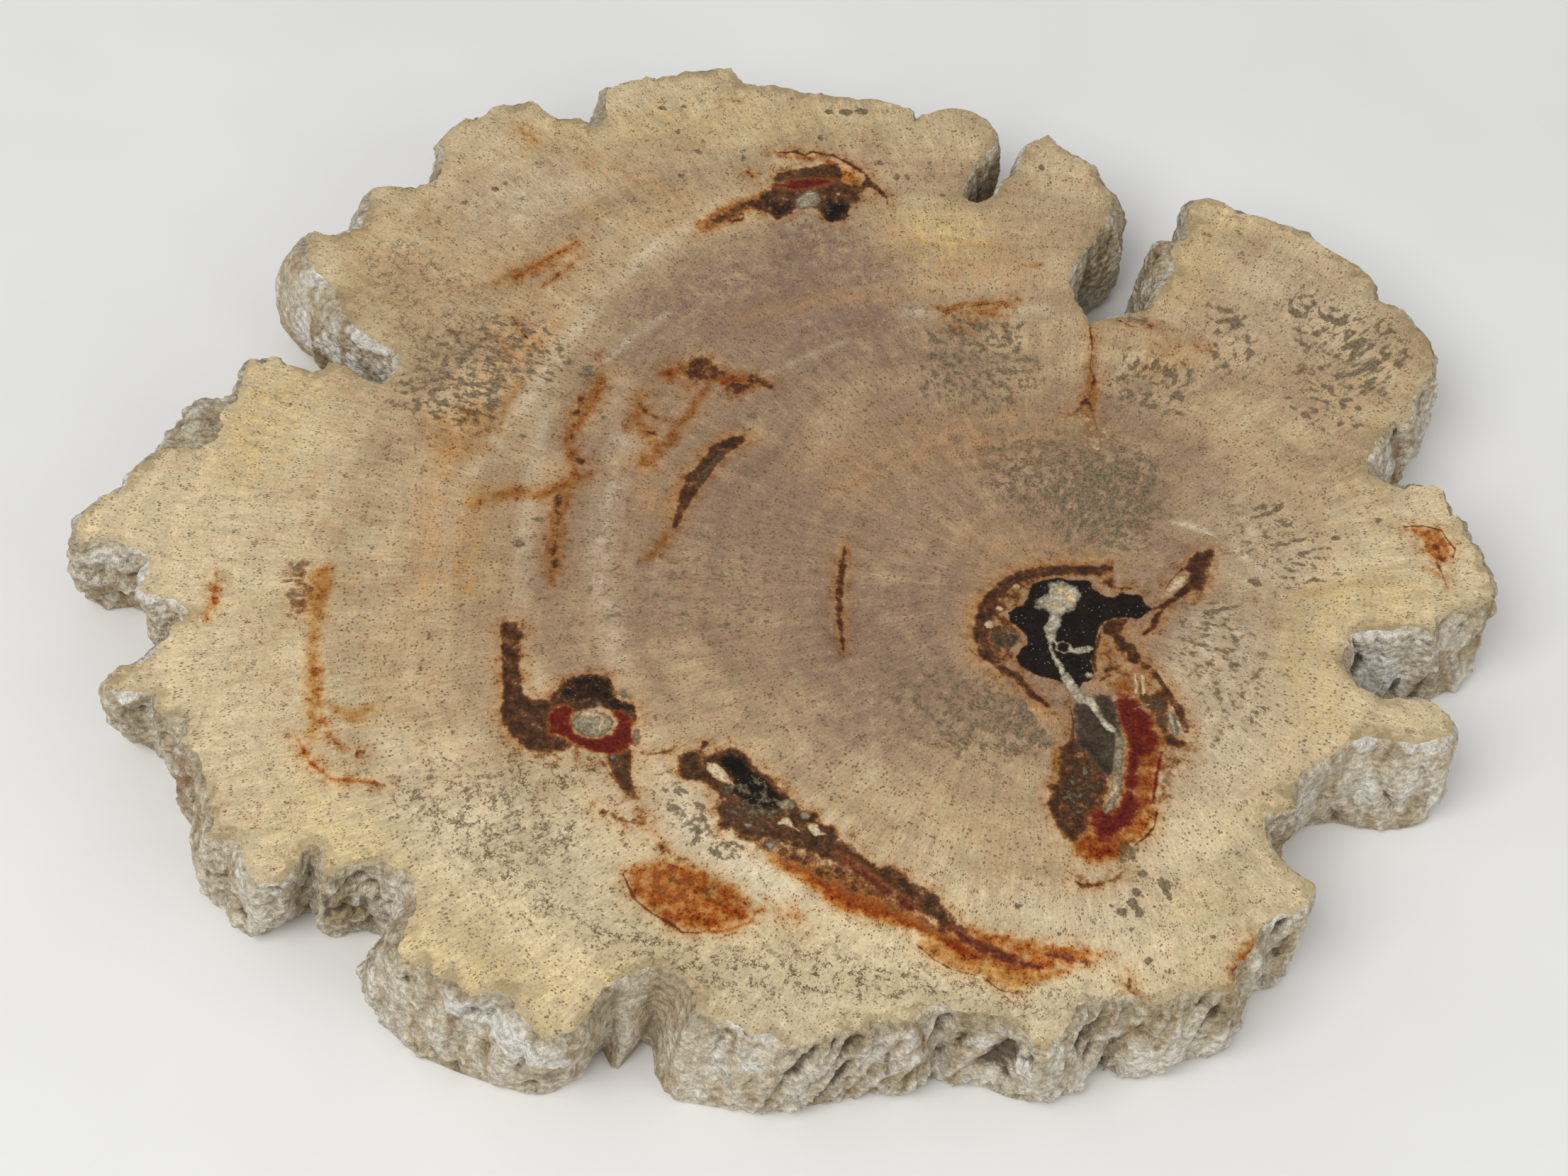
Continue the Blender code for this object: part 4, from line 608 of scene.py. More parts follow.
TINTS = (
    area("heart", 44.0, 1.0, (-62, -34), (-62, -10), (-56, 14), (-48, 34), (-36, 50), (-24, 62), (-8, 72),
         (8, 72), (24, 66), (36, 54), (48, 46), (62, 46), (76, 42), (86, 28), (90, 10), (86, -8), (84, -24),
         (76, -38), (68, -52), (54, -68), (40, -70), (24, -62), (8, -58), (-10, -55), (-30, -54),
         (-48, -50)),
    area("heart", 30.0, 0.55, (-80, -40), (-84, -10), (-88, 20), (-92, 50), (-80, 70), (-62, 92),
         (-34, 104), (0, 110), (28, 104), (44, 98), (52, 86), (70, 80), (84, 80), (104, 72), (116, 56),
         (118, 34), (108, 14), (98, -2), (94, -20), (86, -36), (78, -50), (66, -64), (52, -76), (36, -78),
         (16, -72), (-4, -66), (-24, -64), (-44, -66), (-64, -60), (-76, -50)),
    area("mauve", 14.0, 0.9, (-38, 42), (-24, 58), (-4, 66), (14, 64), (20, 48), (8, 34), (-14, 36)),
    area("mauve", 12.0, 0.6, (0, -40), (10, -14), (28, -14), (32, -40), (24, -58), (6, -60)),
    area("mauve", 10.0, 0.6, (-20, 0), (-4, 14), (6, 4), (0, -16), (-14, -14)),
    area("heart", 10.0, 0.5, (14, -66), (30, -62), (46, -64), (44, -76), (28, -76), (14, -72)),
    area("mauve", 10.0, 0.2, (74, 0), (92, 4), (90, -24), (76, -34), (70, -14)),
    area("mauve", 8.0, 0.6, (-36, 34), (-28, 42), (-22, 36), (-30, 28)),
    area("tan", 12.0, 0.3, (-84, 52), (-72, 66), (-52, 60), (-44, 40), (-60, 32), (-74, 38)),
    area("tan", 8.0, 0.6, (12, 74), (22, 80), (38, 74), (40, 62), (26, 60), (14, 66)),
    area("gold", 7.0, 0.8, (14, 76), (22, 80), (33, 77), (32, 68), (22, 66)),
    area("gold", 8.0, 0.6, (70, 60), (78, 74), (84, 84), (74, 88), (68, 76), (62, 60)),
    area("tan", 8.0, 0.5, (30, 22), (40, 26), (48, 24), (40, 14), (30, 12), (22, 16)),
    area("tan", 8.0, 0.5, (38, -4), (56, -7), (46, -10), (34, -12), (28, -4)),
    area("tan", 10.0, 0.5, (0, 8), (22, 22), (40, 30), (44, 24), (24, 10), (8, 0)),
    area("tan", 12.0, 0.4, (-60, -30), (-56, 0), (-46, 0), (-50, -34)),
    area("tan", 8.0, 0.5, (-100, 20), (-94, 16), (-94, -6), (-102, -6), (-106, 4)),
    area("tan", 8.0, 0.35, (-92, 62), (-84, 60), (-78, 40), (-84, 36), (-90, 44)),
    line("tan", 2.6, 5.0, 0.6, (-47, 84), (-38, 80), (-28, 76)),
    line("tan", 2.0, 4.0, 0.6, (-46, 70), (-38, 70), (-24, 66)),
    line("tan", 1.4, 3.0, 0.6, (-42, 98), (-30, 101)),
    line("rust", (0.2, 0.4, 0.3), 1.0, 0.62, (-22, 104), (-19, 106.4), (-17, 105.4)),
    line("rust", (0.6, 1.0, 0.5), 2.0, 0.5, (-61, 92), (-59.4, 90), (-57.6, 88)),
    line("amber", 1.6, 3.0, 0.6, (-61.4, 92), (-58, 89)),
    dot("amber", -67.0, 33.6, 1.2, 0.7, 1.6),
    line("pale", (0.8, 1.6, 2.0, 1.8, 1.0), 3.4, 0.7, (-41, 44), (-46, 33), (-50, 20), (-54, 9), (-58, 0)),
    line("pale", (0.5, 0.8, 0.5), 1.8, 0.6, (-27, 44), (-33, 37), (-38, 29)),
    line("pale", (0.4, 0.6, 0.4), 1.6, 0.42, (7, 41), (0, 36), (-8, 30)),
    line("pale", (0.8, 1.2, 0.8), 3.0, 0.7, (-20, 74), (-32, 60), (-40, 48)),
    line("pale", 1.0, 3.0, 0.6, (-47, 18), (-47.6, 4), (-47.4, -12), (-46, -28)),
    line("pale", 1.6, 4.0, 0.5, (-32, 12), (-34, -4), (-33, -22), (-28, -40)),
    line("tan", (2.0, 3.0, 2.6), 2.6, 0.9, (-56.6, -4), (-56.6, -16), (-56, -28)),
    line("tan", 2.0, 4.0, 0.7, (-62, 8), (-64, -8), (-63, -28)),
    line("tan", 1.4, 3.0, 0.7, (-30, 24), (-27, 10), (-26, -6)),
    line("tan", 1.6, 4.0, 0.6, (-14, 44), (4, 52), (22, 56)),
    line("pale", 1.2, 3.0, 0.6, (18, 50), (30, 52), (44, 54)),
    line("mauve", 1.2, 2.6, 0.8, (-2, 30), (-10, 22), (-15, 12)),
    area("gold", 12.0, 0.8, (-76, -84), (-56, -104), (-30, -112), (-10, -100), (20, -106), (40, -104),
         (46, -98), (20, -92), (-6, -96), (-30, -92), (-60, -80), (-80, -66)),
    area("gold", 9.0, 0.6, (-104, 6), (-96, 20), (-86, 18), (-88, 0), (-96, -10), (-104, -8)),
    area("gold", 9.0, 0.7, (92, -10), (104, -4), (116, -12), (108, -16), (96, -18), (94, -30), (100, -38),
         (92, -44), (86, -30)),
    area("gold", 9.0, 0.5, (66, -84), (76, -76), (80, -60), (72, -60), (62, -76)),
    area("gold", 9.0, 0.5, (-60, 96), (-40, 100), (-20, 108), (20, 106), (28, 100), (0, 98), (-30, 92),
         (-60, 86)),
    area("pale", 10.0, 0.5, (-70, 70), (-56, 82), (-46, 80), (-52, 66), (-66, 58)),
    area("pale", 12.0, 0.5, (40, -86), (56, -88), (76, -72), (80, -50), (70, -56), (60, -74), (46, -82)),
    area("pale", 9.0, 0.6, (-8, -98), (24, -90), (56, -98), (52, -108), (20, -108), (0, -112)),
    area("pale", 12.0, 0.42, (74, 12), (90, 6), (88, -12), (76, -8)),
    area("pale", 12.0, 0.4, (78, 48), (86, 72), (104, 70), (104, 50)),
    area("pale", 12.0, 0.5, (-60, -66), (-40, -74), (-20, -92), (0, -96), (-30, -104), (-56, -92)),
)

# Markings that stain the stone around them, and how far out their glow reaches, in millimetres
GLOWING = ("black", "brown", "red", "rust", "plum")
GLOW_REACH = 2.6

# How much wider the edge of a crisp area is made, for noise to fray
AREA_SOFTNESS = 1.8

# Marks on the broken wall, along places in millimetres: white chips, iron stains, smooth waxy
# stone and crevices darkened with painted shade
WALL_MARKS = (
    line("chalk", (1.8, 3.0, 3.2, 2.0), 1.8, 1.0, (-46, -108.5, 19), (-40, -111, 17.5), (-34, -114, 17),
         (-29, -115, 16)),
    line("chalk", 2.2, 2.4, 0.8, (35, -105, 15), (43, -108.6, 16), (50, -105, 15)),
    line("chalk", 1.6, 2.4, 0.75, (0, -113, 14), (6, -113, 17)),
    line("chalk", 2.4, 3.0, 0.7, (-122, -30, 12), (-115, -37, 14), (-110, -44, 14)),
    line("chalk", 2.0, 3.0, 0.7, (-112, -6, 16), (-111, 4, 14), (-107, 12, 15)),
    line("chalk", 4.0, 5.0, 0.75, (-98, 54, 14), (-93, 40, 13), (-84, 27, 14)),
    line("chalk", 2.4, 2.6, 0.9, (111, 34, 14), (113, 41, 10)),
    line("chalk", 2.2, 2.6, 0.8, (68, 74, 15), (70, 80, 14)),
    line("chalk", 4.4, 4.0, 0.9, (103, -18, 15), (107, -18, 8)),
    line("chalk", 3.0, 5.0, 0.6, (92, -52, 12), (104, -46, 11), (112, -40, 12)),
    line("wax", 2.2, 2.4, 1.0, (-25, -107, 20.6), (-19, -102, 19.6), (-12, -103.5, 20), (-7, -110, 20.8)),
    line("wax", 5.0, 3.0, 0.8, (-15, -102, 12), (-12, -103, 5)),
    line("wax", 1.3, 2.0, 0.9, (6, -113, 21), (18, -109.6, 20.8), (28, -105, 20.6), (38, -105.6, 21)),
    line("wax", 1.0, 1.8, 0.8, (46, -108, 21), (54, -102, 21)),
    line("iron", 0.5, 1.4, 0.9, (27, -105.5, 17), (28.5, -107, 3)),
    line("iron", 0.6, 1.6, 0.9, (33, -105.5, 18), (34.5, -106.5, 4)),
    line("iron", 0.8, 1.8, 0.9, (46, -108, 18), (49, -107, 6)),
    line("iron", 0.9, 1.8, 1.0, (57, -101, 20), (58, -102, 4)),
    line("iron", 0.9, 2.0, 0.9, (66, -97, 18), (66, -98, 3)),
    line("iron", 1.0, 2.4, 0.9, (74, -94, 20), (75, -94, 6)),
    line("iron", 1.4, 3.0, 0.9, (111, 31, 18), (112, 30, 6)),
    line("iron", 0.8, 1.6, 1.0, (113.5, -16.6, 20), (110, -17.6, 4)),
    line("iron", 0.6, 1.4, 0.9, (119, -12, 20), (115, -16, 8)),
    line("iron", 0.9, 2.2, 0.8, (62, 58, 18), (62, 58, 4)),
    line("iron", 1.4, 3.0, 0.7, (-106, -66, 12), (-98, -80, 9)),
    line("crevice_shade", (0.9, 1.7, 0.9), 1.2, 1.0, (98.6, -20.4, 18), (100.6, -18.6, 15.6), (103.4, -18, 13)),
    line("crevice_shade", (0.5, 0.8, 0.5), 1.0, 0.9, (112.4, -16.8, 20), (109.4, -17.8, 5)),
    line("crevice_shade", 0.9, 1.6, 0.9, (-64, -88, 14), (-63, -88, 4)),
    line("crevice_shade", 0.9, 1.6, 0.9, (-70, -89, 16), (-71, -89, 8)),
    line("crevice_shade", 0.6, 1.2, 0.8, (50, -104.5, 16), (52, -104, 3)),
    line("crevice_shade", 0.6, 1.2, 0.8, (22, -108.5, 15), (23, -109, 2)),
)
WALL_LAYERS = ("chalk", "wax", "iron", "crevice_shade")

MARKS = BIG_KNOT + LONG_STREAK + LEFT_KNOT + UPPER_KNOT + STREAKS + RIGHT_SIDE + SPOT_FIELDS + TINTS
LAYERS = ("heart", "mauve", "tan", "gold", "pale", "khaki", "crackle", "grey", "amber", "rust", "plum",
          "brown", "red", "smoke", "black", "ash", "quartz", "ivory")


def is_crisp(mark):
    return mark.soft < CRISP_BELOW


def inside(outline, spots, block=4000):
    """Which spots lie in a closed outline: those with an odd number of its edges to their right."""
    ax, ay = outline.T
    bx, by = np.roll(outline, -1, axis=0).T
    rise = np.where(by == ay, TINY, by - ay)
    found = np.zeros(len(spots), bool)
    for start in range(0, len(spots), block):
        x, y = spots[start:start + block].T[:, :, None]
        spans = (ay > y) != (by > y)
        right = x < ax + (y - ay) * (bx - ax) / rise
        found[start:start + block] = (spans & right).sum(axis=1) % 2 == 1
    return found


def line_distances(points, halves, spots):
    """How far each spot is outside a line of changing half width; less than 0 is inside."""
    nearest = np.full(len(spots), np.inf)
    for i in range(len(points) - 1):
        start = points[i]
        along = points[i + 1] - start
        share = np.clip((spots - start) @ along / max(along @ along, TINY), 0.0, 1.0)
        away = np.linalg.norm(spots - start - share[:, None] * along, axis=1)
        nearest = np.minimum(nearest, away - halves[i] - (halves[i + 1] - halves[i]) * share)
    return nearest


def distances(mark, spots):
    """How far each spot is outside a mark; less than 0 is inside."""
    points = np.array(mark.points, float)
    if mark.halves:
        return line_distances(points, mark.halves, spots)
    closed = np.vstack([points, points[:1]])
    away = line_distances(closed, (0.0,) * len(closed), spots)
    return np.where(inside(points, spots), -away, away)


def near(mark, spots, margin):
    """Numbers of the spots within a margin of a mark's box."""
    points = np.array(mark.points, float)
    reach = margin + max(mark.halves or (0.0,))
    low, high = points.min(0) - reach, points.max(0) + reach
    return np.flatnonzero(np.all((spots > low) & (spots < high), axis=1))


def layer_coverage(marks, layer, spots):
    """Coverage of each spot by all marks of a layer, from 0 to 1."""
    cover = np.zeros(len(spots))
    for mark in marks:
        if mark.layer == layer:
            soft = mark.soft if mark.halves or not is_crisp(mark) else mark.soft * AREA_SOFTNESS
            at = near(mark, spots, soft)
            share = np.clip(0.5 - distances(mark, spots[at]) / soft, 0.0, 1.0)
            cover[at] = np.maximum(cover[at], share * mark.full)
    return cover


def glow(spots):
    """Strength of the stain around the dark markings at each spot, from 0 to 1."""
    strength = np.zeros(len(spots))
    for mark in MARKS:
        if mark.layer in GLOWING:
            at = near(mark, spots, GLOW_REACH)
            share = np.clip(1.0 - distances(mark, spots[at]) / GLOW_REACH, 0.0, 1.0)
            strength[at] = np.maximum(strength[at], share * mark.full)
    return strength


def blend(a, b, share):
    return a + (b - a) * share


def unit_noise(place, length, shift):
    """Smooth noise from 0 to 1 at a place in millimetres, with lumps of about the given length."""
    spot = place / length + SEED + Vector((shift, 0.0, 0.0))
    return 0.5 + 0.5 * noise.noise(spot)


# Character of the broken wall near places on the rim, in millimetres: height of its knobs and of
# its upright flutes, and how much the flutes lean
Character = namedtuple("Character", "place knobs flutes lean")
CHARACTERS = tuple(Character(*row) for row in (
    ((-122, -24), 0.75, 0.15, 0.0), ((-108, -46), 0.85, 0.1, 0.0), ((-110, 5), 0.8, 0.1, 0.0),
    ((-100, -62), 0.6, 0.2, 0.0), ((-90, -80), 0.7, 0.3, 0.2), ((-66, -88), 0.9, 0.1, 0.0),
    ((-54, -104), 0.65, 0.3, 0.2), ((-33, -115), 0.45, 0.5, 0.3), ((-15, -101), 0.15, 0.15, 0.0),
    ((-6, -110), 0.2, 0.6, 0.4), ((12, -111), 0.25, 1.0, 0.5), ((27, -105), 0.3, 1.0, 0.5),
    ((45, -109), 0.35, 1.1, 0.4), ((62, -99), 0.4, 1.1, 0.3), ((77, -92), 0.5, 0.8, 0.2),
    ((85, -64), 0.5, 0.3, 0.0), ((104, -43), 0.15, 0.55, -0.6), ((104, -33), 0.4, 0.4, 0.0),
    ((112, -17), 0.3, 0.8, 0.0), ((124, -5), 0.5, 0.7, 0.0), ((106, 25), 0.5, 0.6, 0.0),
    ((114, 38), 0.4, 0.7, 0.0), ((90, 84), 0.4, 0.6, 0.0), ((70, 70), 0.4, 0.5, 0.0),
    ((50, 64), 0.35, 0.5, 0.0), ((30, 86), 0.3, 0.3, 0.0), ((0, 111), 0.4, 0.5, 0.0),
    ((-46, 98), 0.5, 0.3, 0.0), ((-74, 88), 0.45, 0.4, 0.0), ((-92, 60), 0.4, 0.3, 0.0),
    ((-94, 46), 0.12, 0.12, 0.0), ((-80, 24), 0.45, 0.3, 0.0),
))
CHARACTER_REACH = 9.0

# Relief of the wall, in millimetres: lengths and widths of the large and the small lumps, and
# how far each kind stands out. The small ones are half as high.
KNOB_LENGTHS = (3.4, 1.7)
KNOB_DEPTH = 1.8
FLUTE_WIDTHS = (3.2, 1.5)
FLUTE_STRETCH = 0.14
FLUTE_DEPTH = 1.6
DENT_LENGTH = 7.0
DENT_DEPTH = 0.6

# The relief fades out over so many millimetres at the rim and at the foot, where a little is left.
# A ray from just outside each point finds a facing wall, and a push closes only a share of the gap.
WALL_FADE = 1.2
FOOT_RELIEF = 0.3
RAY_LIFT = 0.1
RAY_REACH = 4.0
GAP_SHARE = 0.25


def character_at(place):
    """Knobs, flutes and lean of the wall at a place, from the characters nearby."""
    total = 0.0
    knobs = flutes = lean = 0.0
    for character in CHARACTERS:
        apart = (Vector(character.place) - place.to_2d()).length / CHARACTER_REACH
        weight = math.exp(-apart * apart) + 1e-9
        total += weight
        knobs += weight * character.knobs
        flutes += weight * character.flutes
        lean += weight * character.lean
    return knobs / total, flutes / total, lean / total


def knob_height(place, length):
    """Height of round knobs with creases between them, from about -0.7 to 0.5."""
    apart = noise.voronoi(place / length + SEED)[0][0]
    return 0.5 - 1.5 * apart * apart


def ridge_height(place, width):
    """Height of sharp ridges with round hollows between them, from about -0.7 to 0.4."""
    return 0.4 - 1.8 * abs(noise.noise(place / width + SEED))


def wall_push(place, depth):
    """How far the wall stands out at a place, in millimetres."""
    knobs, flutes, lean = character_at(place)
    large, small = [knob_height(place, length) for length in KNOB_LENGTHS]
    lumps = large + 0.5 * small
    leaning = Vector((place.x + lean * depth, place.y, FLUTE_STRETCH * depth))
    large, small = [ridge_height(leaning, width) for width in FLUTE_WIDTHS]
    ridges = large + 0.5 * small
    dents = noise.noise(place / DENT_LENGTH + SEED)
    return KNOB_DEPTH * knobs * lumps + FLUTE_DEPTH * flutes * ridges + DENT_DEPTH * (knobs + flutes) * dents


def cad_wall():
    """The CAD stone's wall alone, as an open band of triangles in millimetres, and its height."""
    shape = bmesh.new()
    shape.from_mesh(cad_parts[NODE].data)
    bmesh.ops.scale(shape, vec=Vector((1.0, 1.0, 1.0)) / MM, verts=shape.verts[:])
    bmesh.ops.remove_doubles(shape, verts=shape.verts[:], dist=LEVEL)
    top = max(vertex.co.z for vertex in shape.verts)
    flats = []
    for face in shape.faces:
        heights = [vertex.co.z for vertex in face.verts]
        if min(heights) > top - LEVEL or max(heights) < LEVEL:
            flats.append(face)
    bmesh.ops.delete(shape, geom=flats, context="FACES")
    return shape, top


def allowed_edge(edge, top):
    """Longest length that an edge of the wall may keep."""
    if min(vertex.co.z for vertex in edge.verts) > top - LEVEL:
        return RIM_EDGE
    faces_front = min(face.normal.y for face in edge.link_faces) < FRONT_NORMAL
    return FRONT_EDGE if faces_front else BACK_EDGE


def smooth(shape, vertices):
    bmesh.ops.smooth_vert(shape, verts=vertices, factor=0.5, use_axis_x=True, use_axis_y=True,
                          use_axis_z=True)


def refine_wall(shape, top):
    for _ in range(WALL_SPLITS):
        long_edges = [edge for edge in shape.edges if edge.calc_length() > allowed_edge(edge, top)]
        if not long_edges:
            break
        bmesh.ops.subdivide_edges(shape, edges=long_edges, cuts=1)
        bmesh.ops.triangulate(shape, faces=[face for face in shape.faces if len(face.verts) > 3],
                              quad_method="SHORT_EDGE", ngon_method="EAR_CLIP")
    inner = [vertex for vertex in shape.verts if not vertex.is_boundary]
    for _ in range(WALL_SMOOTHINGS):
        smooth(shape, inner)
    shape.normal_update()


def keep_in_box(place):
    """Bring a place in millimetres back inside the CAD box, in plan."""
    for axis in range(2):
        place[axis] = min(max(place[axis], CAD_BOX[0][axis] / MM), CAD_BOX[1][axis] / MM)


def roughen_wall(shape, top):
    """Push the wall's inner points in and out, never into a facing wall. Returns each push."""
    tree = bvhtree.BVHTree.FromBMesh(shape)
    pushes = {}
    for vertex in shape.verts:
        if vertex.is_boundary:
            continue
        depth = top - vertex.co.z
        fade = min(1.0, depth / WALL_FADE, (vertex.co.z + FOOT_RELIEF) / WALL_FADE)
        push = fade * wall_push(vertex.co, depth)
        facing, _, _, gap = tree.ray_cast(vertex.co + vertex.normal * RAY_LIFT, vertex.normal, RAY_REACH)
        if facing is not None:
            push = min(push, GAP_SHARE * gap)
        pushes[vertex] = push
    for vertex, push in pushes.items():
        vertex.co += vertex.normal * push
        vertex.co.z = min(max(vertex.co.z, 0.0), top)
        keep_in_box(vertex.co)
    return pushes


def open_loop(shape, height):
    """The open edge of the wall at a height, as vertices in order, counterclockwise."""
    edges = [edge for edge in shape.edges if edge.is_boundary
             and all(abs(vertex.co.z - height) < LEVEL for vertex in edge.verts)]
    neighbours = {}
    for edge in edges:
        a, b = edge.verts
        neighbours.setdefault(a, []).append(b)
        neighbours.setdefault(b, []).append(a)
    start = edges[0].verts[0]
    loop = [start, neighbours[start][0]]
    while True:
        a, b = neighbours[loop[-1]]
        following = a if b is loop[-2] else b
        if following is start:
            break
        loop.append(following)
    doubled_area = sum(a.co.x * b.co.y - b.co.x * a.co.y for a, b in zip(loop, loop[1:] + loop[:1]))
    return loop if doubled_area > 0.0 else loop[::-1]


def ways_out(loop):
    """Direction out of the stone, in plan, at each vertex of a counterclockwise loop."""
    count = len(loop)
    directions = []
    for i in range(count):
        along = loop[(i + RIM_REACH) % count].co - loop[i - RIM_REACH].co
        directions.append(Vector((along.y, -along.x, 0.0)).normalized())
    return directions


def eased(offsets, gaps):
    """Offsets along a closed loop, kept from changing faster than RIM_SLOPE from point to point."""
    count = len(offsets)
    for _ in range(EASINGS):
        for i in list(range(count)) + list(range(count - 1, -1, -1)):
            for j, gap in ((i - 1, gaps[i - 1]), ((i + 1) % count, gaps[i])):
                limit = RIM_SLOPE * gap
                offsets[i] = min(max(offsets[i], offsets[j] - limit), offsets[j] + limit)
    return offsets


def break_rim(shape, rim, top):
    """Wear the rim, and add the border of the polished face just inside it."""
    count = len(rim)
    places = [vertex.co.copy() for vertex in rim]
    gaps = [(places[(i + 1) % count] - places[i]).length for i in range(count)]
    offsets = []
    for place in places:
        knobs = character_at(place)[0]
        waves = unit_noise(place, *SHORT_WANDER) + unit_noise(place, *LONG_WANDER) - 1.0
        wander = RIM_WANDER * (0.5 + 1.2 * knobs) * waves
        least, span = CHIP_NOISE
        chip = CHIP_DEPTH * max(0.0, unit_noise(place, *CHIPS) - least) / span
        offsets.append(wander - chip - RIM_WEAR)
    border = []
    for i, (way, offset) in enumerate(zip(ways_out(rim), eased(offsets, gaps))):
        vertex = rim[i]
        vertex.co = places[i] + way * offset
        keep_in_box(vertex.co)
        width = blend(*EDGE_WIDTH, unit_noise(places[i], *WIDTHS))
        width = min(width, WIDEST_SHARE * gaps[i], WIDEST_SHARE * gaps[i - 1])
        border.append(shape.verts.new(vertex.co - way * width))
        vertex.co.z = top - blend(*EDGE_DROP, unit_noise(places[i], *DROPS))
    return border


MOST_UNTANGLINGS = 10


def untangle(shape):
    """Smooth the stone wherever its triangles still cut through each other."""
    for _ in range(MOST_UNTANGLINGS):
        shape.faces.ensure_lookup_table()
        corners = [frozenset(face.verts) for face in shape.faces]
        tree = bvhtree.BVHTree.FromBMesh(shape)
        tangled = set()
        for a, b in tree.overlap(tree):
            if a < b and corners[a].isdisjoint(corners[b]):
                tangled |= corners[a] | corners[b]
        if not tangled:
            break
        for vertex in list(tangled):
            tangled.update(edge.other_vert(vertex) for edge in vertex.link_edges)
        smooth(shape, [vertex for vertex in tangled if not vertex.is_boundary])


def lattice(step, low, high, seed):
    """Points of a triangular lattice over a box in plan, each nudged a little."""
    rows = np.arange(low[1], high[1], step * math.sqrt(0.75))
    columns = np.arange(low[0], high[0], step)
    x, y = np.meshgrid(columns, rows)
    x = x + (np.arange(len(rows)) % 2)[:, None] * step / 2
    spots = np.stack([x.ravel(), y.ravel()], axis=1)
    nudges = np.random.default_rng(seed).uniform(-NUDGE, NUDGE, spots.shape)
    return spots + nudges * step


def nearest_distances(spots, others):
    """How far each spot is from the nearest of the others."""
    tree = kdtree.KDTree(len(others))
    for i, (x, y) in enumerate(others):
        tree.insert((x, y, 0.0), i)
    tree.balance()
    return np.array([tree.find((x, y, 0.0))[2] for x, y in spots])


def keep_apart(spots, others, gap):
    """The spots that lie at least a gap away from all the others."""
    return spots[nearest_distances(spots, others) >= gap]


def line_spots():
    """Points along the middle and beside each thin crisp line, so that the mesh holds the line."""
    spots = []
    for mark in MARKS:
        if not (is_crisp(mark) and mark.halves and min(mark.halves) < THIN_BELOW):
            continue
        points = np.array(mark.points, float)
        for start, end, half in zip(points, points[1:], mark.halves):
            along = end - start
            length = np.linalg.norm(along)
            side = np.array((along[1], -along[0])) / max(length, TINY)
            for share in np.arange(0.0, 1.0, LINE_STEP / max(length, LINE_STEP)):
                for offset in (-1.0, 0.0, 1.0):
                    spots.append(start + share * along + offset * side * (half + BESIDE_LINE * mark.soft))
    return np.array(spots)


def thinned(spots, gap):
    """Spots thinned out so that none is closer than a gap to one kept before it."""
    cells = {}
    kept = []
    around = [(i, j) for i in (-1, 0, 1) for j in (-1, 0, 1)]
    for spot in spots:
        column, row = int(spot[0] // gap), int(spot[1] // gap)
        others = [other for i, j in around for other in cells.get((column + i, row + j), ())]
        if all(np.hypot(*(spot - other)) >= gap for other in others):
            cells.setdefault((column, row), []).append(spot)
            kept.append(spot)
    return np.array(kept)


def face_spots(outline):
    """Inner points of the polished face: coarse in plain stone, and fine at the markings' edges."""
    low, high = outline.min(0), outline.max(0)
    lines = line_spots()
    lines = lines[inside(outline, lines)]
    lines = thinned(keep_apart(lines, outline, LINE_RIM_GAP), LINE_GAP)
    fine = lattice(MARK_STEP, low, high, MARK_SEED)
    wanted = np.zeros(len(fine), bool)
    for mark in MARKS:
        if is_crisp(mark):
            at = near(mark, fine, MARK_MARGIN)
            wanted[at] |= np.abs(distances(mark, fine[at])) < EDGE_SHARE * mark.soft + EDGE_MARGIN
    fine = fine[wanted]
    fine = fine[inside(outline, fine)]
    fine = keep_apart(fine, np.vstack([outline, lines]), MARK_GAP)
    coarse = lattice(FACE_STEP, low, high, FACE_SEED)
    coarse = coarse[inside(outline, coarse)]
    coarse = keep_apart(coarse, np.vstack([outline, lines, fine]), FACE_GAP)
    return np.vstack([lines, fine, coarse])


# Which triangles of a filling are kept, by Blender's number for those inside the outline, and how
# close two of its points may be before they count as one
INSIDE_ONLY = 1
SAME_POINT = 1e-7


def fill(shape, border, spots, height, material_index, upward):
    """Fill a flat face between its border and its inner spots with triangles."""
    row = list(border)
    for x, y in spots:
        row.append(shape.verts.new((x, y, height)))
    points = [vertex.co.to_2d() for vertex in row]
    loop = list(range(len(border)))
    _, _, triangles, sources, _, _ = geometry.delaunay_2d_cdt(points, [], [loop], INSIDE_ONLY, SAME_POINT)
    for corners in triangles:
        own = [row[sources[corner][0]] for corner in corners]
        face = shape.faces.new(own if upward else own[::-1])
        face.material_index = material_index


FACE_INDEX, WALL_INDEX, UNDERSIDE_INDEX = range(3)


def in_plan(vertices):
    return np.array([vertex.co.to_2d() for vertex in vertices])


def add_object(name, data):
    """An object of the scene that shows the given mesh, light or camera."""
    made = bpy.data.objects.new(name, data)
    bpy.context.scene.collection.objects.link(made)
    return made


def store(mesh, name, values):
    attribute = mesh.attributes.new(name, "FLOAT", "POINT")
    attribute.data.foreach_set("value", np.asarray(values, np.float32))


def smooth_shading(shape):
    """Smooth faces, with sharp edges where two of the stone's faces meet or the wall breaks off."""
    bmesh.ops.recalc_face_normals(shape, faces=shape.faces[:])
    for face in shape.faces:
        face.smooth = True
    for edge in shape.edges:
        kinds = {face.material_index for face in edge.link_faces}
        edge.smooth = len(kinds) == 1 and edge.calc_face_angle(0.0) < SHARPEST


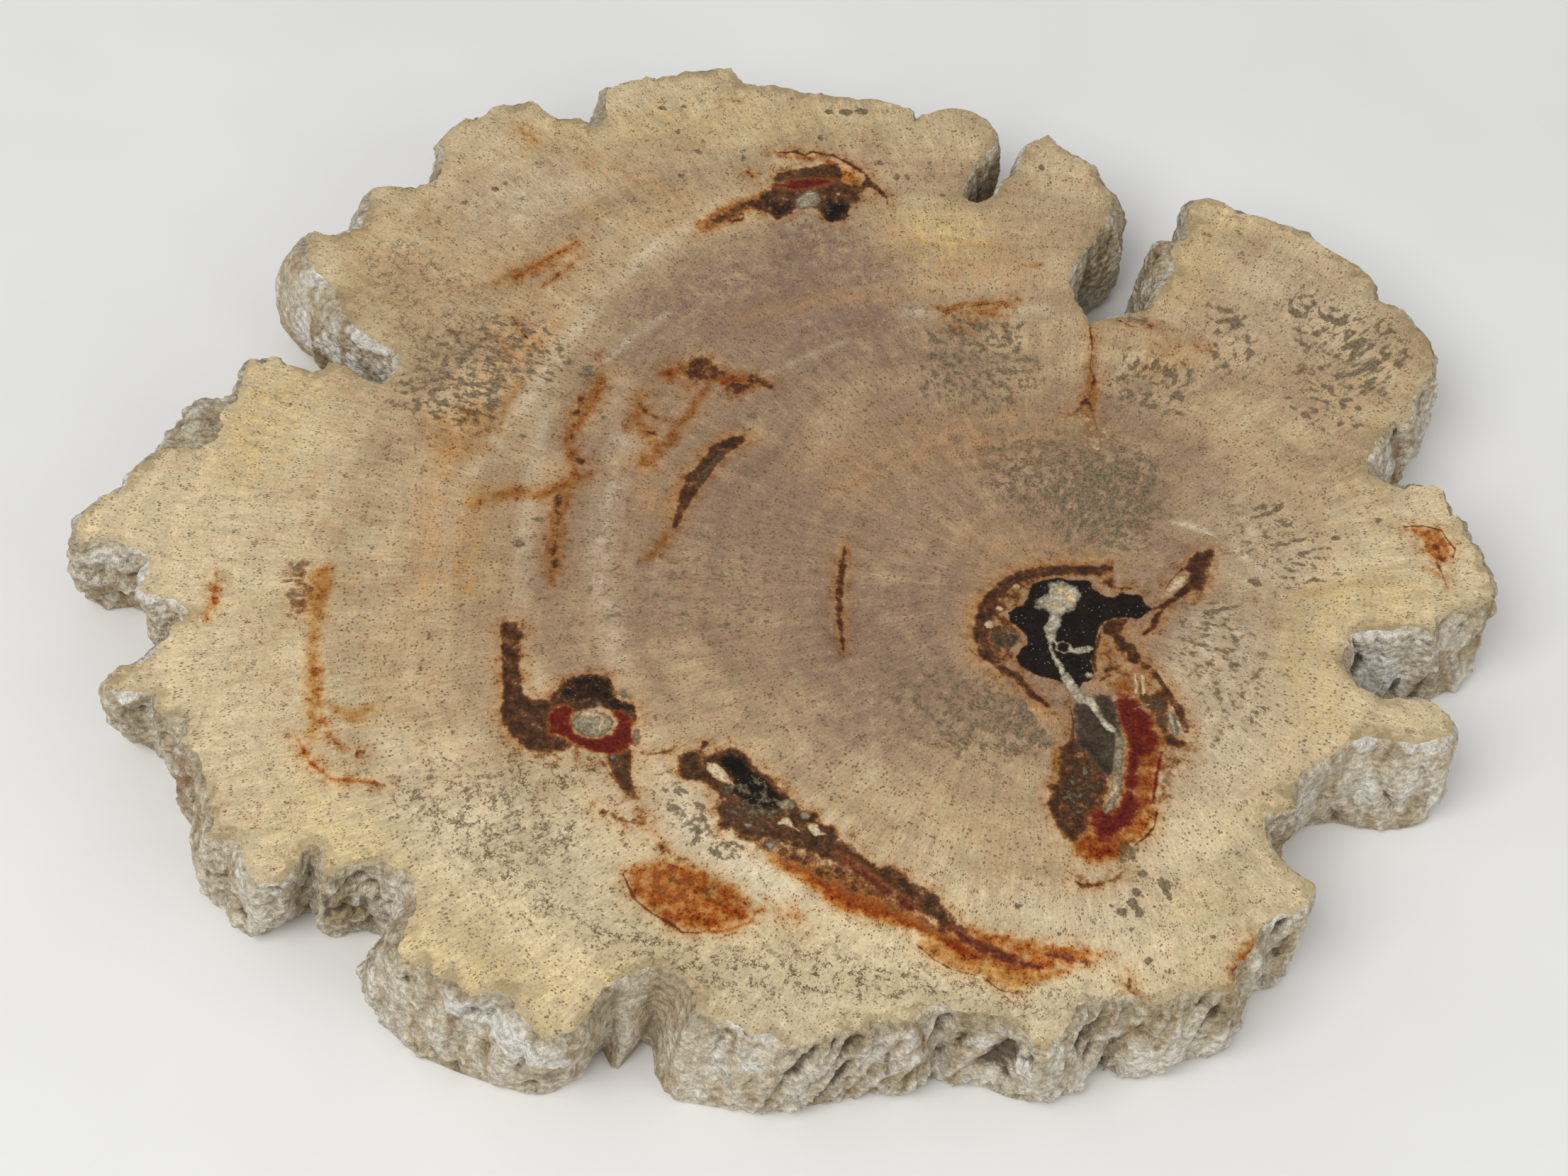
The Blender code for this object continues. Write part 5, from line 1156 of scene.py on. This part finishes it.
def build_stone():
    """The visible stone as one closed mesh, with the layers of its markings on its points."""
    shape, top = cad_wall()
    refine_wall(shape, top)
    pushes = roughen_wall(shape, top)
    rim = open_loop(shape, top)
    foot = open_loop(shape, 0.0)
    border = break_rim(shape, rim, top)
    for i in range(len(rim)):
        j = (i + 1) % len(rim)
        shape.faces.new((border[i], rim[i], rim[j]))
        shape.faces.new((border[i], rim[j], border[j]))
    for face in shape.faces:
        face.material_index = WALL_INDEX
    untangle(shape)
    outline = in_plan(border)
    fill(shape, border, face_spots(outline), top, FACE_INDEX, True)
    foot_outline = in_plan(foot)
    under = lattice(UNDERSIDE_STEP, foot_outline.min(0), foot_outline.max(0), UNDERSIDE_SEED)
    under = keep_apart(under[inside(foot_outline, under)], foot_outline, UNDERSIDE_GAP)
    fill(shape, foot, under, 0.0, UNDERSIDE_INDEX, False)
    untangle(shape)
    smooth_shading(shape)
    shape.verts.index_update()
    relief = np.zeros(len(shape.verts))
    for vertex, push in pushes.items():
        relief[vertex.index] = push
    bmesh.ops.scale(shape, vec=Vector((MM, MM, MM)), verts=shape.verts[:])
    mesh = bpy.data.meshes.new(PIECE)
    shape.to_mesh(mesh)
    shape.free()
    places = np.zeros(len(mesh.vertices) * 3)
    mesh.vertices.foreach_get("co", places)
    places = places.reshape(-1, 3) / MM
    spots = places[:, :2]
    for layer in LAYERS:
        store(mesh, layer, layer_coverage(MARKS, layer, spots))
    for layer in WALL_LAYERS:
        store(mesh, layer, layer_coverage(WALL_MARKS, layer, places))
    store(mesh, "glow", glow(spots))
    store(mesh, "relief", relief)
    store(mesh, "inset", nearest_distances(spots, outline))
    return add_object(PIECE, mesh)


def paint(red, green, blue):
    """A colour for a shader from its 8-bit values as seen on a screen."""
    shares = [value / 255.0 for value in (red, green, blue)]
    return tuple(((share + 0.055) / 1.055) ** 2.4 for share in shares) + (1.0,)


class Graph:
    """Short ways to add and join the nodes of one material."""

    def __init__(self, name):
        self.material = bpy.data.materials.new(name)
        self.material.use_nodes = True
        self.nodes = self.material.node_tree.nodes
        self.links = self.material.node_tree.links
        self.shader = self.nodes["Principled BSDF"]

    def put(self, value, socket):
        if isinstance(value, bpy.types.NodeSocket):
            self.links.new(value, socket)
        else:
            socket.default_value = value

    def add(self, kind, inputs, output=0, **settings):
        node = self.nodes.new(kind)
        for name, value in settings.items():
            setattr(node, name, value)
        for key, value in inputs.items():
            self.put(value, node.inputs[key])
        return node.outputs[output]

    def math(self, operation, *values):
        return self.add("ShaderNodeMath", dict(enumerate(values)), operation=operation)

    def times(self, first, second):
        return self.math("MULTIPLY", first, second)

    def minus(self, first, second):
        return self.math("SUBTRACT", first, second)

    def over(self, first, second):
        return self.math("DIVIDE", first, second)

    def larger(self, first, second):
        return self.math("MAXIMUM", first, second)

    def times_plus(self, first, second, third):
        return self.math("MULTIPLY_ADD", first, second, third)

    def vector(self, operation, *values, output=0):
        return self.add("ShaderNodeVectorMath", dict(enumerate(values)), output, operation=operation)

    def scaled(self, vector, factor):
        return self.add("ShaderNodeVectorMath", {0: vector, 3: factor}, operation="SCALE")

    def join(self, x, y):
        return self.add("ShaderNodeCombineXYZ", {0: x, 1: y, 2: 0.0})

    def part(self, vector, axis):
        return self.add("ShaderNodeSeparateXYZ", {0: vector}, axis)

    def place(self):
        """A place on the object in millimetres."""
        return self.scaled(self.add("ShaderNodeTexCoord", {}, "Object"), 1.0 / MM)

    def layer(self, name):
        return self.add("ShaderNodeAttribute", {}, "Fac", attribute_name=name)

    def spread(self, value, low, high, start=0.0, end=1.0):
        """A value between low and high turned smoothly into one between start and end."""
        return self.add("ShaderNodeMapRange", {0: value, 1: low, 2: high, 3: start, 4: end},
                        interpolation_type="SMOOTHSTEP")

    def swing(self, texture, depth, middle=1.0):
        """A texture around 0.5 turned into a factor around a middle."""
        return self.times_plus(self.minus(texture, 0.5), depth, middle)

    def mix(self, share, first, second, blend_type="MIX"):
        return self.add("ShaderNodeMix", {0: share, 6: first, 7: second}, 2, data_type="RGBA",
                        blend_type=blend_type)

    def cover(self, colour, mask, most, other, blend_type="MIX"):
        """A colour with another laid over it by a mask from 0 to 1, at most so strongly."""
        return self.mix(self.times(mask, most), colour, other, blend_type)

    def ramp(self, value, *stops):
        node = self.nodes.new("ShaderNodeValToRGB")
        first, last = node.color_ramp.elements
        first.position, first.color = stops[0]
        last.position, last.color = stops[-1]
        for position, colour in stops[1:-1]:
            node.color_ramp.elements.new(position).color = colour
        self.put(value, node.inputs[0])
        return node.outputs[0]

    def noise(self, place, length, detail, roughness=0.55, flat=False):
        """Smooth noise around 0.5 with lumps of a length in millimetres; flat noise ignores height."""
        return self.add("ShaderNodeTexNoise", {"Vector": place, "Scale": 1.0 / length, "Detail": detail,
                        "Roughness": roughness}, noise_dimensions="2D" if flat else "3D")

    def cells(self, place, length=1.0, flat=False):
        """Distance from the nearest of many scattered points, each a length from the next."""
        return self.add("ShaderNodeTexVoronoi", {"Vector": place, "Scale": 1.0 / length},
                        voronoi_dimensions="2D" if flat else "3D")

    def bump(self, height, depth):
        """The surface normal with a height from 0 to 1 raised by a depth in millimetres."""
        return self.add("ShaderNodeBump", {"Height": height, "Distance": depth * MM, "Strength": 1.0})

    def finish(self, colour, roughness, normal, specular=0.5):
        """Join the shader up, and give the finished material."""
        inputs = self.shader.inputs
        self.put(colour, inputs["Base Color"])
        self.put(roughness, inputs["Roughness"])
        self.put(normal, inputs["Normal"])
        self.put(specular, inputs["Specular IOR Level"])
        return self.material


# Shine of the three faces of the stone
FACE_SPECULAR = 0.14
UNDERSIDE_SPECULAR = 0.28
WALL_SPECULAR = 0.3
POLISHED_ROUGHNESS = 0.42
GLASSY_ROUGHNESS = 0.2

# Textures of the cut stone: length of the lumps in millimetres, detail and roughness
CLOUD = (12.0, 3.0, 0.6)
BLOTCH = (3.0, 3.0, 0.6)
GRAIN = (0.6, 2.0, 0.7)
FRAY = (2.2, 5.0, 0.7)
CRACK_LINES = (3.2, 4.0, 0.66)
POLISH = (1.4, 2.0, 0.7)
SPECK_LENGTH = 1.2

# Textures that run out from the ring centre: width and length of the cells in millimetres, detail
STREAK = (0.5, 2.6, 2.0)
FIBRE = (2.2, 12.0, 1.0)
SPOT = (1.8, 2.3, 2.0)
PORE_CELL = (0.5, 0.9)

# Growth rings: width in millimetres and detail of the fine and the broad ones, and the length of
# the lumps that warp them, and how far, in millimetres
FINE_RINGS = (2.4, 2.0)
BROAD_RINGS = (11.0, 1.0)
WARP_LENGTH = 26.0
WARP_DEPTH = 9.0
RING_WANDER = 1.6

# How strongly each texture lightens and darkens the cut stone
STREAK_CONTRAST = 0.52
FIBRE_CONTRAST = 0.34
RING_CONTRAST = 0.34
GRAIN_CONTRAST = 0.6
BLOTCH_CONTRAST = 0.42

# Colours of the cut stone, and of what lies on it, with how strongly the small marks cover it
WOOD_STOPS = ((0.0, paint(207, 187, 149)), (0.5, paint(184, 157, 120)), (1.0, paint(153, 125, 98)))
TINT_COLOURS = (
    ("mauve", paint(134, 107, 90), 0.8),
    ("tan", paint(182, 140, 88), 0.7),
    ("gold", paint(210, 186, 130), 0.7),
    ("pale", paint(210, 194, 164), 0.8),
    ("khaki", paint(150, 134, 96), 0.45),
)
STAIN = paint(126, 104, 78)
PORE = paint(104, 76, 50)
PORE_COVER = 0.72
FLECK = paint(218, 200, 166)
FLECK_COVER = 0.3
WEATHERED = paint(150, 131, 94)
GLOW = paint(224, 178, 122)
GLOW_COVER = 0.72
CRACKLE = paint(94, 74, 50)
CRACKLE_COVER = 0.9
SPOT_FRINGE = paint(126, 104, 78)
FRINGE_COVER = 0.5
SPOT_COLOURS = ((0.35, paint(90, 75, 54)), (0.65, paint(137, 120, 93)))
SPOT_COVER = 0.9
SPOT_FRAY = 2.4
# Painted glints: pale specks of highlight in the black, and how strongly they cover it
GLINT_HIGHLIGHT = paint(158, 152, 138)
GLINT_COVER = 0.8

# Inks: layer, how it covers the stone, strength of the noise that frays its edge, half width of
# that edge, how strongly it covers, and its 8-bit colours from its edge to its core
Ink = namedtuple("Ink", "layer blending fray edge most outer middle inner")
INKS = (
    Ink("amber", "MULTIPLY", 1.0, 0.46, 1.0, (246, 226, 192), (232, 196, 142), (202, 146, 86)),
    Ink("rust", "MULTIPLY", 1.3, 0.38, 1.0, (244, 208, 156), (226, 168, 106), (180, 108, 62)),
    Ink("brown", "MIX", 1.7, 0.22, 0.96, (160, 110, 58), (88, 52, 28), (42, 26, 17)),
    Ink("plum", "MIX", 1.5, 0.3, 0.9, (150, 84, 44), (98, 44, 28), (60, 26, 22)),
    Ink("red", "MIX", 1.3, 0.28, 1.0, (146, 84, 38), (108, 36, 20), (72, 21, 16)),
    Ink("smoke", "MIX", 1.5, 0.24, 0.94, (98, 80, 56), (64, 54, 42), (38, 32, 26)),
    Ink("black", "MIX", 1.2, 0.14, 0.98, (66, 44, 26), (24, 18, 15), (11, 10, 10)),
    Ink("ash", "MIX", 1.6, 0.16, 1.0, (88, 76, 56), (124, 111, 86), (160, 147, 119)),
    Ink("quartz", "MIX", 1.8, 0.2, 0.96, (98, 87, 68), (152, 141, 118), (204, 194, 170)),
    Ink("ivory", "MIX", 1.4, 0.18, 0.95, (160, 132, 92), (196, 172, 134), (218, 200, 166)),
)
GLASSY = ("smoke", "black", "red")

# Coverages between which a mark fades in
FAINTEST = (0.03, 0.25)


class Rings:
    """Textures that follow the growth rings of a cut face, or run out from their centre.

    The second kind needs the way round the centre in millimetres. That would widen towards the
    rim, so its circle doubles from band to band, and one band is blended into the next.
    """

    def __init__(self, graph, place):
        self.graph = graph
        centred = graph.vector("SUBTRACT", place, (*RING_CENTRE, 0.0))
        flat = graph.vector("MULTIPLY", centred, (1.0, 1.0, 0.0))
        warp = graph.noise(place, WARP_LENGTH, 1.0, flat=True)
        away = graph.larger(graph.vector("LENGTH", flat, output="Value"), 1.0)
        self.distance = graph.times_plus(warp, WARP_DEPTH, away)
        x, y = graph.part(flat, 0), graph.part(flat, 1)
        self.angle = graph.math("ARCTAN2", graph.times(y, -1.0), graph.times(x, -1.0))
        octave = graph.math("LOGARITHM", graph.over(self.distance, FIRST_BAND), 2.0)
        band = graph.math("FLOOR", octave)
        self.share = graph.spread(graph.minus(octave, band), 0.2, 0.8)
        self.circle = graph.times(graph.math("POWER", 2.0, band), FIRST_BAND)

    def spot(self, width, length, doubling=1.0):
        """A flat place for a texture whose cells are so wide round the centre and so long outwards."""
        graph = self.graph
        round_way = graph.times(self.angle, graph.times(self.circle, doubling / width))
        return graph.join(round_way, graph.over(self.distance, length))

    def radial(self, width, length, detail):
        """A texture that runs out from the centre, blended between its band and the next."""
        graph = self.graph
        inner, outer = [graph.noise(self.spot(width, length, doubling), 1.0, detail, flat=True)
                        for doubling in (1.0, 2.0)]
        return graph.add("ShaderNodeMix", {0: self.share, 2: inner, 3: outer}, 0)

    def growth(self, width, detail, wander):
        """A texture in rings of about that width; the wander breaks them up along their way."""
        graph = self.graph
        spot = graph.join(graph.over(self.distance, width), graph.times(wander, RING_WANDER))
        return graph.noise(spot, 1.0, detail, 0.6, flat=True)


class CutStone:
    """Colour of the cut stone, built up layer by layer over textures that the layers share."""

    def __init__(self, graph):
        self.graph = graph
        self.place = graph.place()
        self.rings = Rings(graph, self.place)
        self.cloud = graph.noise(self.place, *CLOUD, flat=True)
        self.blotch = graph.noise(self.place, *BLOTCH, flat=True)
        self.grain = graph.noise(self.place, *GRAIN, flat=True)
        self.fray = graph.noise(self.place, *FRAY, flat=True)
        self.speck = graph.cells(self.place, SPECK_LENGTH, flat=True)
        self.colour = self.wood()
        self.glassy = None
        self.add_pores()
        self.add_weathering()
        self.add_cracks()
        self.add_spots()
        for ink in INKS:
            self.add_ink(ink)

    def wood(self):
        """The ground colour: heartwood and sapwood, tints, streaks, rings and grain."""
        graph = self.graph
        mottled = graph.swing(self.blotch, 0.5, graph.layer("heart"))
        colour = graph.ramp(graph.swing(self.cloud, 1.1, mottled), *WOOD_STOPS)
        for layer, tint, most in TINT_COLOURS:
            patchy = graph.spread(self.blotch, 0.25, 0.75, 0.35 * most, 1.4 * most)
            colour = graph.mix(graph.times(graph.layer(layer), patchy), colour, tint)
        fibres = self.rings.radial(*FIBRE)
        light = graph.swing(self.rings.radial(*STREAK), STREAK_CONTRAST)
        for texture, contrast in (
            (fibres, FIBRE_CONTRAST),
            (self.rings.growth(*FINE_RINGS, self.cloud), RING_CONTRAST),
            (self.rings.growth(*BROAD_RINGS, fibres), RING_CONTRAST),
            (self.grain, GRAIN_CONTRAST),
            (self.blotch, BLOTCH_CONTRAST),
        ):
            light = graph.times(light, graph.swing(texture, contrast))
        return graph.scaled(colour, light)

    def add_pores(self):
        """Small stains, the pores between the fibres, and pale flecks."""
        graph = self.graph
        stains = graph.spread(self.fray, 0.63, 0.67)
        stains = graph.times(stains, graph.spread(self.cloud, 0.36, 0.6, 0.1, 0.6))
        self.colour = graph.mix(stains, self.colour, STAIN)
        size = graph.spread(self.fray, 0.34, 0.7, 0.0, 0.3)
        cells = graph.cells(self.rings.spot(*PORE_CELL), flat=True)
        pores = graph.spread(graph.minus(cells, size), -0.06, 0.06, 1.0, 0.0)
        self.colour = graph.cover(self.colour, pores, PORE_COVER, PORE)
        size = graph.spread(self.fray, 0.5, 0.3, 0.0, 0.16)
        flecks = graph.spread(graph.minus(self.speck, size), -0.05, 0.07, 1.0, 0.0)
        self.colour = graph.cover(self.colour, flecks, FLECK_COVER, FLECK)

    def add_weathering(self):
        """The dull border just inside the rim, and the stain around the dark markings."""
        graph = self.graph
        border = graph.spread(graph.swing(self.blotch, 9.0, graph.layer("inset")), 0.2, 2.6, 1.0, 0.0)
        weathered = graph.times(border, graph.spread(self.cloud, 0.34, 0.62, 0.15, 0.75))
        self.colour = graph.mix(weathered, self.colour, WEATHERED)
        stained = graph.times(graph.layer("glow"), graph.spread(self.fray, 0.36, 0.62, 0.15, 1.2))
        self.colour = graph.cover(self.colour, stained, GLOW_COVER, GLOW, "MULTIPLY")

    def add_cracks(self):
        """Fine crackle, along the middle values of a branching noise."""
        graph = self.graph
        branching = graph.minus(graph.noise(self.place, *CRACK_LINES, flat=True), 0.5)
        lines = graph.spread(graph.math("ABSOLUTE", branching), 0.012, 0.05, 1.0, 0.0)
        cracks = graph.times(graph.times(lines, graph.spread(self.fray, 0.4, 0.54)), graph.layer("crackle"))
        self.colour = graph.cover(self.colour, cracks, CRACKLE_COVER, CRACKLE)

    def add_spots(self):
        """Grey spots with a darker fringe."""
        graph = self.graph
        grey = graph.layer("grey")
        spot = graph.swing(self.grain, 0.3, self.rings.radial(*SPOT))
        fringe = ragged(graph, grey, spot, SPOT_FRAY, 0.08)
        self.colour = graph.cover(self.colour, fringe, FRINGE_COVER, SPOT_FRINGE)
        core = ragged(graph, grey, spot, SPOT_FRAY, 0.07, 0.6)
        self.colour = graph.cover(self.colour, core, SPOT_COVER, graph.ramp(self.grain, *SPOT_COLOURS))

    def add_ink(self, ink):
        """One ink, ragged at its edge and darker to its core, with painted glints, pale specks of highlight,
        in the black.
        """
        graph = self.graph
        coverage = graph.layer(ink.layer)
        depth = graph.swing(self.fray, ink.fray, coverage)
        mask = graph.spread(depth, 0.5 - ink.edge, 0.5 + ink.edge)
        mask = graph.times(mask, graph.spread(coverage, *FAINTEST))
        stops = ((0.0, paint(*ink.outer)), (0.5, paint(*ink.middle)), (1.0, paint(*ink.inner)))
        shade = graph.ramp(graph.spread(depth, 0.3, 1.35), *stops)
        if ink.blending == "MIX":
            shade = graph.scaled(shade, graph.spread(self.grain, 0.3, 0.7, 0.7, 1.3))
        self.colour = graph.cover(self.colour, mask, ink.most, shade, ink.blending)
        if ink.layer in GLASSY:
            self.glassy = mask if self.glassy is None else graph.larger(self.glassy, mask)
        # Painted glints: small pale specks of highlight scattered in the black
        if ink.layer == "black":
            painted_glints = graph.spread(self.speck, 0.05, 0.12, 1.0, 0.0)
            painted_glints = graph.times(painted_glints, graph.spread(self.blotch, 0.5, 0.62))
            self.colour = graph.cover(self.colour, graph.times(painted_glints, mask), GLINT_COVER, GLINT_HIGHLIGHT)


def ragged(graph, coverage, wobble, strength, edge, middle=0.5):
    """A coverage broken up by a noise, as a mask from 0 to 1."""
    mask = graph.spread(graph.swing(wobble, strength, coverage), middle - edge, middle + edge)
    return graph.times(mask, graph.spread(coverage, *FAINTEST))


def face_material():
    graph = Graph("polished_face")
    stone = CutStone(graph)
    roughness = graph.spread(stone.glassy, 0.0, 1.0, POLISHED_ROUGHNESS, GLASSY_ROUGHNESS)
    normal = graph.bump(graph.noise(stone.place, *POLISH, flat=True), 0.05)
    return graph.finish(stone.colour, roughness, normal, FACE_SPECULAR)


# Dust on the underside, and the marks that the saw left
DUST = paint(172, 162, 144)
SAW_MARKS = {"Scale": 0.32, "Distortion": 1.2, "Detail": 2.0, "Detail Scale": 0.4}


def underside_material():
    graph = Graph("sawn_underside")
    stone = CutStone(graph)
    dust = graph.spread(graph.noise(stone.place, 7.0, 3.0, flat=True), 0.3, 0.8, 0.25, 0.6)
    colour = graph.mix(dust, stone.colour, DUST)
    saw = graph.add("ShaderNodeTexWave", {"Vector": stone.place, **SAW_MARKS}, "Fac", wave_type="BANDS",
                    bands_direction="Y")
    colour = graph.scaled(colour, graph.spread(saw, 0.0, 1.0, 0.93, 1.03))
    roughness = graph.spread(stone.grain, 0.3, 0.7, 0.62, 0.8)
    normal = graph.bump(graph.math("ADD", saw, stone.grain), 0.05)
    return graph.finish(colour, roughness, normal, UNDERSIDE_SPECULAR)


# Colours of the broken wall, from its dark patches to its light ones, and of its stains
WALL_STOPS = ((0.34, paint(146, 121, 86)), (0.44, paint(190, 171, 138)), (0.54, paint(218, 206, 181)),
              (0.64, paint(234, 226, 210)))
IRON_STOPS = ((0.35, paint(182, 138, 86)), (0.65, paint(124, 80, 44)))
WAX_STOPS = ((0.35, paint(166, 146, 114)), (0.65, paint(204, 187, 156)))
CHALK = paint(238, 233, 221)
# Painted shade that darkens the hollows of the wall
HOLLOW_SHADE = paint(88, 71, 50)
# Painted highlight that lightens the crests of the wall
CREST_HIGHLIGHT = paint(236, 229, 214)
# Painted shade that darkens the crevices of the wall
CREVICE_SHADE = paint(78, 62, 46)

# Heights on the wall, in millimetres, with a wave of up to 7 added, over which the smooth stone
# below the rim and the chalky edge above it begin
WAVE_DEPTH = 7.0
WAX_START = (23.4, 24.2)
CHALK_START = (24.2, 25.0)


def wall_material():
    graph = Graph("broken_wall")
    place = graph.place()
    upright = graph.vector("MULTIPLY", place, (1.0, 1.0, 0.3))
    broad = graph.noise(place, 17.0, 2.0)
    patch = graph.noise(upright, 4.5, 4.0, 0.66)
    stain = graph.noise(graph.vector("ADD", upright, (40.0, 0.0, 0.0)), 8.0, 4.0, 0.62)
    fine = graph.noise(place, 1.3, 4.0, 0.75)
    grit = graph.cells(place, 1.5)
    relief = graph.layer("relief")
    height = graph.part(place, 2)
    colour = graph.ramp(graph.times_plus(patch, 0.65, graph.times(broad, 0.35)), *WALL_STOPS)

    orange = graph.times(graph.spread(stain, 0.56, 0.68), graph.spread(patch, 0.35, 0.6))
    orange = graph.larger(orange, ragged(graph, graph.layer("iron"), fine, 1.6, 0.25))
    colour = graph.cover(colour, orange, 0.8, graph.ramp(fine, *IRON_STOPS))
    wave = graph.times_plus(graph.noise(place, 6.0, 2.0), WAVE_DEPTH, height)
    waxy = graph.times(graph.spread(wave, *WAX_START), graph.spread(stain, 0.4, 0.54))
    waxy = graph.larger(waxy, ragged(graph, graph.layer("wax"), patch, 1.4, 0.2))
    colour = graph.cover(colour, waxy, 0.8, graph.ramp(patch, *WAX_STOPS))
    white = graph.times(graph.spread(wave, *CHALK_START), graph.spread(broad, 0.53, 0.6))
    white = graph.larger(white, ragged(graph, graph.layer("chalk"), patch, 2.0, 0.2))
    colour = graph.cover(colour, white, 0.85, CHALK)
    # Painted shade: darker where the relief is pushed in, in the hollows
    hollow_shade = graph.spread(graph.swing(fine, 1.1, relief), -1.2, -0.1, 1.0, 0.0)
    colour = graph.cover(colour, hollow_shade, 0.85, HOLLOW_SHADE)
    # Painted highlight: lighter where the relief stands out, on the crests
    crest_highlight = graph.spread(graph.swing(fine, 0.6, relief), 0.2, 0.9)
    colour = graph.cover(colour, crest_highlight, 0.6, CREST_HIGHLIGHT)
    # Painted shade along the crevices drawn on the wall
    dark = ragged(graph, graph.layer("crevice_shade"), fine, 1.4, 0.2)
    colour = graph.cover(colour, dark, 0.75, CREVICE_SHADE)
    colour = graph.scaled(colour, graph.spread(fine, 0.3, 0.7, 0.66, 1.26))

    rough = graph.times_plus(fine, 0.9, graph.times(patch, 0.6))
    rough = graph.minus(graph.times_plus(grit, -0.8, rough), graph.times(dark, 0.5))
    roughness = graph.spread(waxy, 0.0, 1.0, 0.88, 0.5)
    return graph.finish(colour, roughness, graph.bump(rough, 1.5), WALL_SPECULAR)


# Floor: half its width in metres, the gap under the stone in millimetres, so that its underside
# and the floor don't coincide, and its linear colours
FLOOR_HALF = 3.0
FLOOR_GAP = 0.2
FLOOR_STOPS = ((0.3, (0.80, 0.79, 0.77, 1.0)), (0.7, (0.83, 0.82, 0.80, 1.0)))
FLOOR_ROUGHNESS = 0.75


def add_floor():
    graph = Graph("pale_floor")
    place = graph.place()
    colour = graph.ramp(graph.noise(place, 60.0, 2.0, flat=True), *FLOOR_STOPS)
    normal = graph.bump(graph.noise(place, 0.9, 1.0, flat=True), 0.01)
    signs = ((-1, -1), (1, -1), (1, 1), (-1, 1))
    corners = [(x * FLOOR_HALF, y * FLOOR_HALF, -FLOOR_GAP * MM) for x, y in signs]
    mesh = bpy.data.meshes.new("floor")
    mesh.from_pydata(corners, [], [(0, 1, 2, 3)])
    mesh.materials.append(graph.finish(colour, FLOOR_ROUGHNESS, normal))
    add_object("floor", mesh)


# Light: the studio's colour and strength, and each lamp's place and size in metres and its power
STUDIO_COLOUR = (0.96, 0.98, 1.0, 1.0)
STUDIO_STRENGTH = 0.5
LAMPS = (
    ("key_light", (-0.55, -0.75, 1.15), 0.9, 13.0),
    ("fill_light", (0.9, -0.6, 0.6), 0.8, 2.5),
)


def light_scene():
    """A soft studio, and square lamps that face the middle of the stone."""
    world = bpy.data.worlds.new("studio")
    world.use_nodes = True
    background = world.node_tree.nodes["Background"]
    background.inputs["Color"].default_value = STUDIO_COLOUR
    background.inputs["Strength"].default_value = STUDIO_STRENGTH
    bpy.context.scene.world = world
    bpy.context.scene.view_settings.view_transform = "Standard"
    for name, place, size, power in LAMPS:
        lamp = bpy.data.lights.new(name, "AREA")
        lamp.size = size
        lamp.energy = power
        light = add_object(name, lamp)
        light.location = place
        light.rotation_euler = (-Vector(place)).to_track_quat("-Z", "Y").to_euler()


def add_camera():
    """The camera where the photograph was taken from."""
    down = math.radians(CAMERA_LOOKS_DOWN)
    tilt = math.radians(CAMERA_TILT)
    ahead = Vector((0.0, math.cos(down), -math.sin(down)))
    level_down = Vector((0.0, -math.sin(down), -math.cos(down)))
    level_right = Vector((1.0, 0.0, 0.0))
    right = math.cos(tilt) * level_right - math.sin(tilt) * level_down
    up = -math.sin(tilt) * level_right - math.cos(tilt) * level_down
    lens = bpy.data.cameras.new("camera")
    lens.lens = CAMERA_LENS
    lens.sensor_width = SENSOR_WIDTH
    lens.clip_start = 0.01
    camera = add_object("camera", lens)
    turn = Matrix((right, up, -ahead)).transposed().to_4x4()
    camera.matrix_world = Matrix.Translation(Vector(CAMERA_PLACE) * MM) @ turn
    bpy.context.scene.camera = camera


stone = build_stone()
for material in (face_material(), wall_material(), underside_material()):
    stone.data.materials.append(material)
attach(stone, "root")
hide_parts(NODE)
add_floor()
light_scene()
add_camera()
